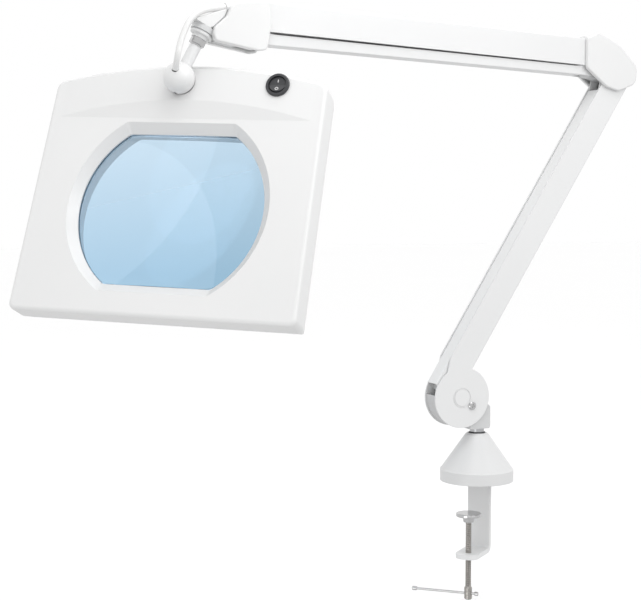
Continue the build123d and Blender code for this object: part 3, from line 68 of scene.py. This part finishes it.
# ---------------------------------------------------------------- camera
VIEW_AZIMUTH, VIEW_PITCH = radians(23.5), radians(-3.73)
view_dir = Vector((sin(VIEW_AZIMUTH) * cos(VIEW_PITCH), cos(VIEW_AZIMUTH) * cos(VIEW_PITCH), sin(VIEW_PITCH)))
camera = bpy.data.objects.new("camera", bpy.data.cameras.new("camera"))
camera.data.lens = 77.5
camera.data.sensor_width = 36
camera.data.clip_end = 50
camera.location = (-0.7441, -1.2878, 0.2910)
camera.rotation_euler = view_dir.to_track_quat("-Z", "Y").to_euler()
scene.collection.objects.link(camera)
scene.camera = camera

# ---------------------------------------------------------------- axes of the head and the neck
KNEE = Vector((-307.0, 0, 467.0)) * MM
NECK_TILT, NECK_LENGTH = radians(28.4), 55.2
neck_dir = Vector((-sin(NECK_TILT), 0, -cos(NECK_TILT)))
BALL = KNEE + neck_dir * NECK_LENGTH * MM
AZIMUTH, PITCH, ROLL = radians(-130.0), radians(21.2), radians(2.2)
BALL_ON_HEAD = (-4.7, 127.8, 13.4)    # ball centre in the head's own axes, which start at the lens
face_out = Vector((cos(AZIMUTH) * cos(PITCH), sin(AZIMUTH) * cos(PITCH), sin(PITCH)))
face_level = Vector((-sin(AZIMUTH), cos(AZIMUTH), 0))
face_rise = face_out.cross(face_level)
face_right = face_level * cos(ROLL) - face_rise * sin(ROLL)
face_up = face_out.cross(face_right)
lens_centre = BALL - (face_right * BALL_ON_HEAD[0] + face_up * BALL_ON_HEAD[1] + face_out * BALL_ON_HEAD[2]) * MM
head_axes = Matrix((face_right, face_up, face_out)).transposed().to_4x4()
head_axes.translation = lens_centre


def on_head(u, v, w):
    """A point given in the head's own axes, in millimetres."""
    return head_axes @ (Vector((u, v, w)) * MM)


# ---------------------------------------------------------------- building helpers
def new_piece(name, mesh, material, body, smooth=True):
    """Links a mesh as a piece that rides on a body."""
    piece = bpy.data.objects.new(name, mesh)
    scene.collection.objects.link(piece)
    mesh.materials.append(material)
    if smooth:
        mesh.shade_smooth()
        mesh.set_sharp_from_angle(angle=radians(35))
    if body:
        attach(piece, body)
    return piece


def mesh_of(name, points, faces):
    """A mesh from points in metres and faces, with its normals facing out."""
    mesh = bpy.data.meshes.new(name)
    mesh.from_pydata([tuple(p) for p in points], [], faces)
    work = bmesh.new()
    work.from_mesh(mesh)
    bmesh.ops.recalc_face_normals(work, faces=work.faces)
    work.to_mesh(mesh)
    work.free()
    return mesh


def rings(grid, closed_ends=True):
    """Faces that join rows of points, each row a closed ring; returns points and faces."""
    points = [p for row in grid for p in row]
    count = len(grid[0])
    faces = []
    for row in range(len(grid) - 1):
        for i in range(count):
            j = (i + 1) % count
            faces.append((row * count + i, row * count + j, (row + 1) * count + j, (row + 1) * count + i))
    if closed_ends:
        faces.append(tuple(range(count))[::-1])
        faces.append(tuple((len(grid) - 1) * count + i for i in range(count)))
    return points, faces


def turned(profile, axes, segments=64):
    """Rows of points of a turned part: profile is (radius, height) in millimetres along the axes' z."""
    return [[axes @ (Vector((r * cos(2 * pi * i / segments), r * sin(2 * pi * i / segments), z)) * MM)
             for i in range(segments)] for r, z in profile]


def joined(parts):
    """Points and faces of several shapes as one."""
    points, faces = [], []
    for part_points, part_faces in parts:
        start = len(points)
        points += part_points
        faces += [tuple(start + i for i in face) for face in part_faces]
    return points, faces


def axes_at(origin, z_dir, x_dir):
    """Placement with its z along z_dir; origin in metres."""
    z_dir = z_dir.normalized()
    x_dir = (x_dir - z_dir * x_dir.dot(z_dir)).normalized()
    placed = Matrix((x_dir, z_dir.cross(x_dir), z_dir)).transposed().to_4x4()
    placed.translation = origin
    return placed


# ---------------------------------------------------------------- materials
class Nodes:
    """Short names for building a node tree."""

    def __init__(self, name):
        self.material = bpy.data.materials.new(name)
        self.material.use_nodes = True
        self.tree = self.material.node_tree
        self.shader = self.tree.nodes["Principled BSDF"]
        self.coords = self.add("ShaderNodeTexCoord").outputs["Object"]

    def add(self, kind, **settings):
        node = self.tree.nodes.new(kind)
        for key, value in settings.items():
            setattr(node, key, value)
        return node

    def join(self, start, end):
        self.tree.links.new(start, end)

    def noise(self, scale, detail=3.0, rough=0.5, stretch=None):
        node = self.add("ShaderNodeTexNoise")
        node.inputs["Scale"].default_value = scale
        node.inputs["Detail"].default_value = detail
        node.inputs["Roughness"].default_value = rough
        if stretch:
            mapping = self.add("ShaderNodeMapping")
            mapping.inputs["Scale"].default_value = stretch
            self.join(self.coords, mapping.inputs["Vector"])
            self.join(mapping.outputs["Vector"], node.inputs["Vector"])
        else:
            self.join(self.coords, node.inputs["Vector"])
        return node.outputs["Fac"]

    def between(self, factor, low, high, start=0.0, end=1.0):
        node = self.add("ShaderNodeMapRange")
        node.inputs["From Min"].default_value = start
        node.inputs["From Max"].default_value = end
        node.inputs["To Min"].default_value = low
        node.inputs["To Max"].default_value = high
        self.join(factor, node.inputs["Value"])
        return node.outputs["Result"]

    def blend(self, factor, first, second):
        node = self.add("ShaderNodeMix", data_type="RGBA")
        node.inputs["A"].default_value = (*first, 1)
        node.inputs["B"].default_value = (*second, 1)
        self.join(factor, node.inputs["Factor"])
        return node.outputs["Result"]

    def bump(self, height, distance, strength=1.0, rounding=0.0):
        node = self.add("ShaderNodeBump")
        node.inputs["Distance"].default_value = distance
        node.inputs["Strength"].default_value = strength
        self.join(height, node.inputs["Height"])
        if rounding:
            edge = self.add("ShaderNodeBevel", samples=4)
            edge.inputs["Radius"].default_value = rounding
            self.join(edge.outputs["Normal"], node.inputs["Normal"])
        self.join(node.outputs["Normal"], self.shader.inputs["Normal"])

    def set(self, **values):
        for key, value in values.items():
            self.shader.inputs[key.replace("_", " ")].default_value = value


def coated(name, light, dark, rough, grain, depth, rounding, coat=0.0):
    """Painted or moulded surface: faint cloudiness, uneven gloss and a fine surface texture."""
    n = Nodes(name)
    cloud = n.noise(9.0, 4.0, 0.6)
    n.join(n.blend(n.between(cloud, 0, 1, 0.35, 0.7), dark, light), n.shader.inputs["Base Color"])
    n.join(n.between(n.noise(60.0, 5.0, 0.7), rough - 0.02, rough + 0.03, 0.3, 0.7), n.shader.inputs["Roughness"])
    n.bump(n.noise(grain, 2.0, 0.5), depth, 0.6, rounding)
    n.set(IOR=1.49, Coat_Weight=coat, Coat_Roughness=0.12)
    return n.material


def metal(name, light, dark, rough, stretch, depth, rounding=0.0002):
    """Bare or plated metal with a drawn or turned grain."""
    n = Nodes(name)
    grain = n.noise(400.0, 3.0, 0.6, stretch)
    n.join(n.blend(n.noise(35.0, 4.0, 0.6), dark, light), n.shader.inputs["Base Color"])
    n.join(n.between(grain, rough * 0.75, rough * 1.4, 0.3, 0.7), n.shader.inputs["Roughness"])
    n.bump(grain, depth, 0.5, rounding)
    n.set(Metallic=1.0)
    return n.material


def glass_with_painted_light():
    """Clear blue-tinted glass with a coated surface; its tint is painted paler towards the top, painted light
    standing in for the brighter top of the lens.
    """
    n = Nodes("lens_glass")
    height = n.add("ShaderNodeSeparateXYZ")
    n.join(n.coords, height.inputs["Vector"])
    # Painted light: the tint blends from deep blue at the bottom to pale blue at the top, by height alone.
    n.join(n.blend(n.between(height.outputs["Z"], 0.0, 1.0, 0.23, 0.37), (0.37, 0.575, 0.705), (0.62, 0.76, 0.83)),
           n.shader.inputs["Base Color"])
    n.set(Roughness=0.0, Transmission_Weight=1.0, IOR=1.5, Coat_Weight=0.25, Coat_Roughness=0.0, Coat_IOR=1.6,
          Coat_Tint=(0.72, 0.84, 1.0, 1.0))
    return n.material


def board(name):
    """Solder-masked board with copper tracks and pads under the mask."""
    n = Nodes(name)
    tracks = n.add("ShaderNodeTexBrick", offset=0.37, squash=1.6)
    n.join(n.coords, tracks.inputs["Vector"])
    for key, value in (("Scale", 210.0), ("Mortar Size", 0.05), ("Mortar Smooth", 0.2)):
        tracks.inputs[key].default_value = value
    tracks.inputs["Color1"].default_value = (0.02, 0.13, 0.05, 1)
    tracks.inputs["Color2"].default_value = (0.025, 0.15, 0.06, 1)
    tracks.inputs["Mortar"].default_value = (0.05, 0.24, 0.10, 1)
    n.join(tracks.outputs["Color"], n.shader.inputs["Base Color"])
    n.join(n.between(n.noise(90.0), 0.3, 0.45), n.shader.inputs["Roughness"])
    n.bump(tracks.outputs["Fac"], 0.00004, 0.6)
    return n.material


def phosphor():
    """Light source: a yellow phosphor window in a white frame."""
    n = Nodes("led")
    n.join(n.blend(n.between(n.noise(260.0, 2.0), 0, 1, 0.4, 0.6), (0.92, 0.80, 0.32), (0.95, 0.90, 0.70)),
           n.shader.inputs["Base Color"])
    n.join(n.between(n.noise(500.0), 0.3, 0.5), n.shader.inputs["Roughness"])
    n.bump(n.noise(900.0), 0.00003)
    return n.material


def frosted():
    """Milky plastic with a fine prism texture, over the light sources."""
    n = Nodes("diffuser")
    n.join(n.blend(n.noise(30.0, 3.0), (0.90, 0.91, 0.90), (0.95, 0.95, 0.93)), n.shader.inputs["Base Color"])
    prisms = n.noise(1500.0, 2.0, 0.6)
    n.join(n.between(prisms, 0.4, 0.6), n.shader.inputs["Roughness"])
    n.bump(prisms, 0.00008, 0.8, 0.0003)
    n.set(Subsurface_Weight=0.3, Subsurface_Scale=0.002, IOR=1.49)
    return n.material


MATERIALS = {
    "white_paint": coated("white_paint", (0.725, 0.728, 0.73), (0.71, 0.713, 0.715), 0.36, 1500.0, 0.00005, 0.0005),
    "white_plastic": coated("white_plastic", (0.73, 0.732, 0.732), (0.715, 0.717, 0.717), 0.32, 2600.0, 0.00002,
                            0.0006, 0.10),
    "zinc_casting": coated("zinc_casting", (0.64, 0.645, 0.645), (0.55, 0.555, 0.56), 0.42, 700.0, 0.00012, 0.0005),
    # Painted shade: a darker grey standing in for the shade that falls on the guard under the lower arm.
    "guard_painted_shade_grey": coated("guard_painted_shade_grey", (0.53, 0.533, 0.537), (0.49, 0.493, 0.497), 0.4, 2200.0, 0.00003, 0.0005),
    "cone_plastic": coated("cone_plastic", (0.665, 0.668, 0.67), (0.65, 0.652, 0.654), 0.36, 2000.0, 0.00003, 0.0006),
    "black_plastic": coated("black_plastic", (0.045, 0.046, 0.05), (0.03, 0.031, 0.034), 0.38, 2000.0, 0.00004,
                            0.0003),
    "rubber_black": coated("rubber_black", (0.035, 0.035, 0.036), (0.025, 0.025, 0.025), 0.7, 1200.0, 0.00006,
                           0.0003),
    "cable_white": coated("cable_white", (0.74, 0.742, 0.738), (0.70, 0.70, 0.697), 0.45, 1800.0, 0.00003, 0.0),
    "component": coated("component", (0.06, 0.06, 0.07), (0.04, 0.04, 0.05), 0.5, 1200.0, 0.00005, 0.0004),
    "steel": metal("steel", (0.50, 0.505, 0.515), (0.38, 0.385, 0.395), 0.30, (1, 1, 0.15), 0.00002),
    "chrome": metal("chrome", (0.56, 0.56, 0.562), (0.44, 0.44, 0.442), 0.14, (1, 1, 0.3), 0.000008),
    "screw_steel": metal("screw_steel", (0.42, 0.405, 0.385), (0.30, 0.287, 0.27), 0.22, (1, 1, 0.3), 0.00001),
    "lens_glass": glass_with_painted_light(),
    "diffuser": frosted(),
    "circuit_board": board("circuit_board"),
    "led": phosphor(),
}
# Nodes whose look differs from their slot's; the guard's slot is white plastic and its darker grey is painted shade
OWN_LOOK = {"guard": "guard_painted_shade_grey", "cone_cover": "cone_plastic", "lens_seal": "cable_white"}
for row in frame["record"]["subparts"]:
    node = frame["nodes"][row["node"]]
    chosen = MATERIALS[OWN_LOOK.get(row["node"], row["material_slot"])]
    if not node.material_slots:
        node.data.materials.append(chosen)
    for place in node.material_slots:
        place.link = "OBJECT"
        place.material = chosen

# ---------------------------------------------------------------- cable from the arm end to the ball
GLAND_DIR = Vector((-0.46, -0.72, 0.45)).normalized()
CABLE_R = 3.0
INSIDE_BALL = 15.0     # distance of the cable's end from the ball centre
CABLE_ROUTE = [
    (-288.6, -8.6, 487.4),
    (-301.5, -9.4, 485.6),
    (-316.0, -11.0, 481.4),
    (-326.6, -12.6, 472.6),
    (-332.6, -14.3, 460.8),
    (-337.6, -16.6, 448.6),
    (-341.0, -19.4, 435.6),
    tuple(BALL / MM + GLAND_DIR * INSIDE_BALL),
]


def route_curve(name, route, bevel):
    """NURBS line through a route given in millimetres, with a round section where bevel is set."""
    curve = bpy.data.curves.new(name, "CURVE")
    curve.dimensions = "3D"
    curve.resolution_u = 16
    curve.bevel_depth = bevel
    curve.bevel_resolution = 6
    curve.use_fill_caps = bevel > 0
    spline = curve.splines.new("NURBS")
    spline.points.add(len(route) - 1)
    for point, place in zip(spline.points, route):
        point.co = (*(Vector(place) * MM), 1)
    spline.order_u = 3
    spline.use_endpoint_u = True
    holder = bpy.data.objects.new(name, curve)
    mesh = bpy.data.meshes.new_from_object(holder)
    bpy.data.objects.remove(holder)
    return mesh


cable_line = [tuple(v.co) for v in route_curve("cable_line", CABLE_ROUTE, 0).vertices]
cable = new_piece("cable_sheath", route_curve("cable_sheath", CABLE_ROUTE, CABLE_R * MM),
                  MATERIALS["cable_white"], None)
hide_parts("cable")
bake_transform(cable)


# ---------------------------------------------------------------- springs inside both arms
WIRE_R, COIL_R, COIL_PITCH = 0.78, 2.9, 1.72
TURN_STEPS, WIRE_SIDES, HOOK_STEPS = 14, 6, 15
HOOK_ROOM = 10.0       # from a pin to the first full turn
HALF_GAP = 4.3         # from the arm's plane to a spring's axis


def coil(axes, first, last):
    """Two closed-coil springs side by side with a hook at each end, as points and faces."""
    parts = []
    start, end = first[0] + HOOK_ROOM, last[0] - HOOK_ROOM
    turns = int((end - start) / COIL_PITCH)
    steps = turns * TURN_STEPS
    for flank in (-1, 1):
        line = []
        side = flank * HALF_GAP
        for step in range(HOOK_STEPS + 1):
            a = pi * 0.25 + 1.5 * pi * step / HOOK_STEPS
            line.append(Vector((first[0] + COIL_R * cos(a), first[1] - COIL_R * sin(a), side)))
        line.append(Vector((first[0] + COIL_R + 2.5, first[1] + 0.6, side)))
        for step in range(steps + 1):
            a = 2 * pi * step / TURN_STEPS
            grow = min(1.0, step / TURN_STEPS, (steps - step) / TURN_STEPS)
            r = COIL_R * (0.25 + 0.75 * grow)
            line.append(Vector((start + (end - start) * step / steps, first[1] + r * sin(a), side + r * cos(a))))
        line.append(Vector((last[0] - COIL_R - 2.5, last[1] + 0.6, side)))
        for step in range(HOOK_STEPS + 1):
            a = 1.25 * pi - 1.5 * pi * step / HOOK_STEPS
            line.append(Vector((last[0] + COIL_R * cos(a), last[1] + COIL_R * sin(a), side)))
        rows = []
        for i, here in enumerate(line):
            along = (line[min(i + 1, len(line) - 1)] - line[max(i - 1, 0)]).normalized()
            centre = Vector((here.x, first[1], side))
            out = here - centre if (here - centre).length > 0.5 else Vector((0, 0, 1))
            out = (out - along * out.dot(along)).normalized()
            across = along.cross(out)
            spokes = [out * cos(2 * pi * k / WIRE_SIDES) + across * sin(2 * pi * k / WIRE_SIDES)
                      for k in range(WIRE_SIDES)]
            rows.append([axes @ ((here + spoke * WIRE_R) * MM) for spoke in spokes])
        parts.append(rings(rows))
    return joined(parts)


LOWER_ANGLE, UPPER_ANGLE = radians(57.6), radians(2.67)
lower_axes = axes_at(Vector((-25, 0, 92)) * MM, Vector((0, -1, 0)), Vector((cos(LOWER_ANGLE), 0, sin(LOWER_ANGLE))))
upper_axes = axes_at(Vector((146, 0, 465)) * MM, Vector((0, 1, 0)),
                     Vector((-cos(UPPER_ANGLE), 0, sin(UPPER_ANGLE))))
for title, axes, first, last, body in (
        ("lower_coils", lower_axes, (52.0, 14.5), (338.0, 14.5), "lower_arm"),
        ("upper_coils", upper_axes, (52.0, 2.0), (350.0, 2.0), "upper_arm")):
    springs = new_piece(title, mesh_of(title, *coil(axes, first, last)), MATERIALS["steel"], body)
    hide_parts(title.replace("coils", "springs"))

# ---------------------------------------------------------------- clamp screw with a rolled thread
JAW_ANGLE = radians(219.7)
SCREW_REACH = 23.4
screw_axes = Matrix.Translation(Vector((cos(JAW_ANGLE), sin(JAW_ANGLE), 0)) * SCREW_REACH * MM)
SCREW_TOP, SCREW_END, THREAD_PITCH = -35.9, -112.0, 2.0
THREAD_R, THREAD_DEPTH = 3.25, 0.75
PITCH_STEPS, THREAD_SIDES = 8, 28
thread_rows = []
steps = int((SCREW_TOP - SCREW_END) / THREAD_PITCH * PITCH_STEPS)
for step in range(steps + 1):
    z = SCREW_TOP + (SCREW_END - SCREW_TOP) * step / steps
    row = []
    for i in range(THREAD_SIDES):
        turn = i / THREAD_SIDES
        phase = (z / THREAD_PITCH - turn) % 1.0
        groove = min(1.0, max(0.0, 1.25 - abs(phase - 0.5) * 4.2))
        fade = min(1.0, (SCREW_TOP - z) / 2.0, (z - SCREW_END) / 2.0 + 0.2)
        r = THREAD_R - THREAD_DEPTH * groove * max(0.0, fade)
        row.append(screw_axes @ (Vector((r * cos(2 * pi * turn), r * sin(2 * pi * turn), z)) * MM))
    thread_rows.append(row)
boss = turned([(2.4, -111.9), (3.4, -112.0), (4.2, -112.8), (4.2, -116.2), (4.0, -116.4), (4.0, -116.9),
               (4.2, -117.1), (4.2, -121.0), (4.0, -121.2), (4.0, -121.7), (4.2, -121.9), (4.2, -124.4),
               (3.2, -125.5)], screw_axes, 40)
screw = new_piece("threaded_screw", mesh_of("threaded_screw", *joined([rings(thread_rows), rings(boss)])),
                  MATERIALS["screw_steel"], "screw")
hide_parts("clamp_screw")

# ---------------------------------------------------------------- lens
GLASS_R, GLASS_HALF, SEAT, BACK = 97.0, 79.5, -11.0, -15.0
SIGHT_R, SIGHT_HALF = 94.7, 77.2
FRONT_SAG, REAR_SAG = 6.0, 10.0
front_ball = (GLASS_R ** 2 + FRONT_SAG ** 2) / (2 * FRONT_SAG)
rear_ball = (GLASS_R ** 2 + REAR_SAG ** 2) / (2 * REAR_SAG)
LENS_SEGMENTS, LENS_RINGS = 288, 24
CORNER_POWER = 34.0    # the higher, the sharper the corners between the arcs and the flats


def rim(angle, radius, half):
    """Distance from the centre to a circle cut off flat above and below, its corners eased."""
    flat = half / max(abs(sin(angle)), 1e-6)
    if flat < radius * 0.93:
        return flat
    return (radius ** -CORNER_POWER + flat ** -CORNER_POWER) ** (-1 / CORNER_POWER)


def lens_row(fraction, radius, half, height):
    """Ring of points on the head at a fraction of an outline, raised by a function of the radius."""
    row = []
    for i in range(LENS_SEGMENTS):
        a = 2 * pi * i / LENS_SEGMENTS
        r = rim(a, radius, half) * fraction
        row.append(on_head(r * cos(a), r * sin(a), height(r)))
    return row


def front_height(r):
    """Front face of the lens, bulging forward."""
    return SEAT + FRONT_SAG - front_ball + sqrt(front_ball ** 2 - r * r)


def rear_height(r):
    """Rear face of the lens, bulging backward."""
    return BACK - REAR_SAG + rear_ball - sqrt(rear_ball ** 2 - r * r)


lens_rows = [lens_row(k / LENS_RINGS, SIGHT_R, SIGHT_HALF, front_height) for k in range(1, LENS_RINGS + 1)]
lens_rows += [lens_row(1, SIGHT_R, SIGHT_HALF, lambda r: SEAT), lens_row(1, GLASS_R, GLASS_HALF, lambda r: SEAT),
              lens_row(1, GLASS_R, GLASS_HALF, lambda r: BACK), lens_row(1, SIGHT_R, SIGHT_HALF, lambda r: BACK)]
lens_rows += [lens_row(k / LENS_RINGS, SIGHT_R, SIGHT_HALF, rear_height) for k in range(LENS_RINGS, 0, -1)]
lens_rows.insert(0, lens_row(0.002, SIGHT_R, SIGHT_HALF, front_height))
lens_rows.append(lens_row(0.002, SIGHT_R, SIGHT_HALF, rear_height))
lens = new_piece("lens_optic", mesh_of("lens_optic", *rings(lens_rows)), MATERIALS["lens_glass"], "head")
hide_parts("lens")

# ---------------------------------------------------------------- light shield between the lens and the rear rim
SHIELD_IN, SHIELD_OUT = (SIGHT_R + 3.1, SIGHT_HALF + 3.1), (SIGHT_R + 5.0, SIGHT_HALF + 5.0)
SHIELD_FRONT, SHIELD_BACK = -17.3, -35.9
shield_rows = [lens_row(1, *outline, lambda r, w=w: w)
               for outline, w in ((SHIELD_IN, SHIELD_FRONT), (SHIELD_IN, SHIELD_BACK), (SHIELD_OUT, SHIELD_BACK),
                                  (SHIELD_OUT, SHIELD_FRONT), (SHIELD_IN, SHIELD_FRONT))]
new_piece("light_shield", mesh_of("light_shield", *rings(shield_rows, closed_ends=False)),
          MATERIALS["white_plastic"], "head")

# ---------------------------------------------------------------- marks on the rocker
mark_paint = coated("mark_paint", (0.72, 0.72, 0.72), (0.62, 0.62, 0.62), 0.5, 900.0, 0.00002, 0.0)
SWITCH = Vector((93.0, 126.5, 0.4))


def on_rocker(along, across, lift, slope):
    """A point on one of the rocker's two faces; along runs up the head from the hinge."""
    return on_head(SWITCH.x + across, SWITCH.y + along, SWITCH.z + 2.2 + slope * abs(along) + lift)


MARK_LOW, MARK_HIGH = -0.1, 0.12      # faces of the raised marks
BAR_AT, BAR_HALF_WIDTH, BAR_HALF_LENGTH = 4.1, 0.35, 1.5
RING_AT, RING_IN, RING_OUT, RING_SIDES = -4.3, 1.15, 1.75, 32
RAISED_SLOPE = 0.325                  # slope of the rocker's raised end
corners = [(x * BAR_HALF_WIDTH, y * BAR_HALF_LENGTH) for x, y in ((-1, -1), (1, -1), (1, 1), (-1, 1))]
bar_rows = [[on_rocker(BAR_AT + y, x, lift, 0.0) for x, y in corners] for lift in (MARK_LOW, MARK_HIGH)]
ring_rows = []
for radius, lift in ((RING_IN, MARK_LOW), (RING_OUT, MARK_LOW), (RING_OUT, MARK_HIGH), (RING_IN, MARK_HIGH),
                     (RING_IN, MARK_LOW)):
    turns = [2 * pi * i / RING_SIDES for i in range(RING_SIDES)]
    ring_rows.append([on_rocker(RING_AT + radius * sin(a), radius * cos(a), lift, RAISED_SLOPE) for a in turns])
new_piece("rocker_marks", mesh_of("rocker_marks", *joined([rings(bar_rows), rings(ring_rows, closed_ends=False)])),
          mark_paint, "rocker")


# ---------------------------------------------------------------- studio
def area_light(name, place, target, size, power, shape="RECTANGLE"):
    """White light panel at a place, facing a target, unseen by the camera."""
    light = bpy.data.lights.new(name, "AREA")
    light.shape = shape
    light.size, light.size_y = size
    light.energy = power
    holder = bpy.data.objects.new(name, light)
    holder.location = place
    holder.rotation_euler = (Vector(target) - Vector(place)).to_track_quat("-Z", "Y").to_euler()
    holder.visible_camera = False
    scene.collection.objects.link(holder)
    return holder


floor_nodes = Nodes("floor")
floor_nodes.join(floor_nodes.blend(floor_nodes.noise(2.0, 3.0), (0.99, 0.99, 0.99), (1.0, 1.0, 1.0)),
                 floor_nodes.shader.inputs["Base Color"])
floor_nodes.set(Roughness=0.8)
low, high = cad_box
SCREW_DROP = 0.008     # how far the clamp screw comes down below its place at rest
FLOOR_HALF = 14
floor_z = low.z - SCREW_DROP - 0.0015
floor_corners = [(x * FLOOR_HALF, y * FLOOR_HALF, floor_z) for x, y in ((-1, -1), (1, -1), (1, 1), (-1, 1))]
floor_mesh = mesh_of("floor", floor_corners, [(0, 1, 2, 3)])
floor = bpy.data.objects.new("floor", floor_mesh)
floor_mesh.materials.append(floor_nodes.material)
scene.collection.objects.link(floor)
floor.visible_diffuse = False
floor.visible_glossy = False

aim = (-0.1, 0.0, 0.25)
area_light("key", (0.45, -1.15, 0.95), (-0.15, 0.0, 0.3), (0.6, 0.6), 3.6)
area_light("top", (-0.1, 0.2, 2.3), aim, (2.2, 1.6), 2)
area_light("over_head", (-0.20, -0.24, 0.95), lens_centre, (0.5, 0.5), 1.9)
area_light("low_fill", lens_centre + face_out * 0.35 - face_up * 0.65, lens_centre, (0.4, 0.4), 1.15)
lens_only = bpy.data.collections.new("lens_only")
lens_only.objects.link(lens)
# Discs that only the lens reflects, each placed across and down from the middle of its reflections
mirror_way = Vector((-0.734, -0.270, 0.623))
DISC_DISTANCE, DISC_STRENGTH = 2.0, 1.9
for title, across, down, size in (("dish_large", -1.15, -0.6, 2.87), ("dish_small", -0.54, 0.44, 2.1)):
    spot = lens_centre + mirror_way * DISC_DISTANCE + face_right * across - face_up * down
    dish = area_light(title, spot, lens_centre, (size, size), DISC_STRENGTH * size * size, shape="DISK")
    dish.light_linking.receiver_collection = lens_only

# Sky that grows darker below the horizon
world = bpy.data.worlds.new("studio")
world.use_nodes = True
sky = world.node_tree
ways = sky.nodes.new("ShaderNodeTexCoord")
split = sky.nodes.new("ShaderNodeSeparateXYZ")
falloff = sky.nodes.new("ShaderNodeMapRange")
for key, value in (("From Min", -0.65), ("From Max", -0.15), ("To Min", 0.78), ("To Max", 1.0)):
    falloff.inputs[key].default_value = value
sky.links.new(ways.outputs["Generated"], split.inputs["Vector"])
sky.links.new(split.outputs["Z"], falloff.inputs["Value"])
sky.links.new(falloff.outputs["Result"], sky.nodes["Background"].inputs["Strength"])
sky.nodes["Background"].inputs["Color"].default_value = (1.0, 1.0, 1.0, 1)
scene.world = world
scene.view_settings.view_transform = "Standard"
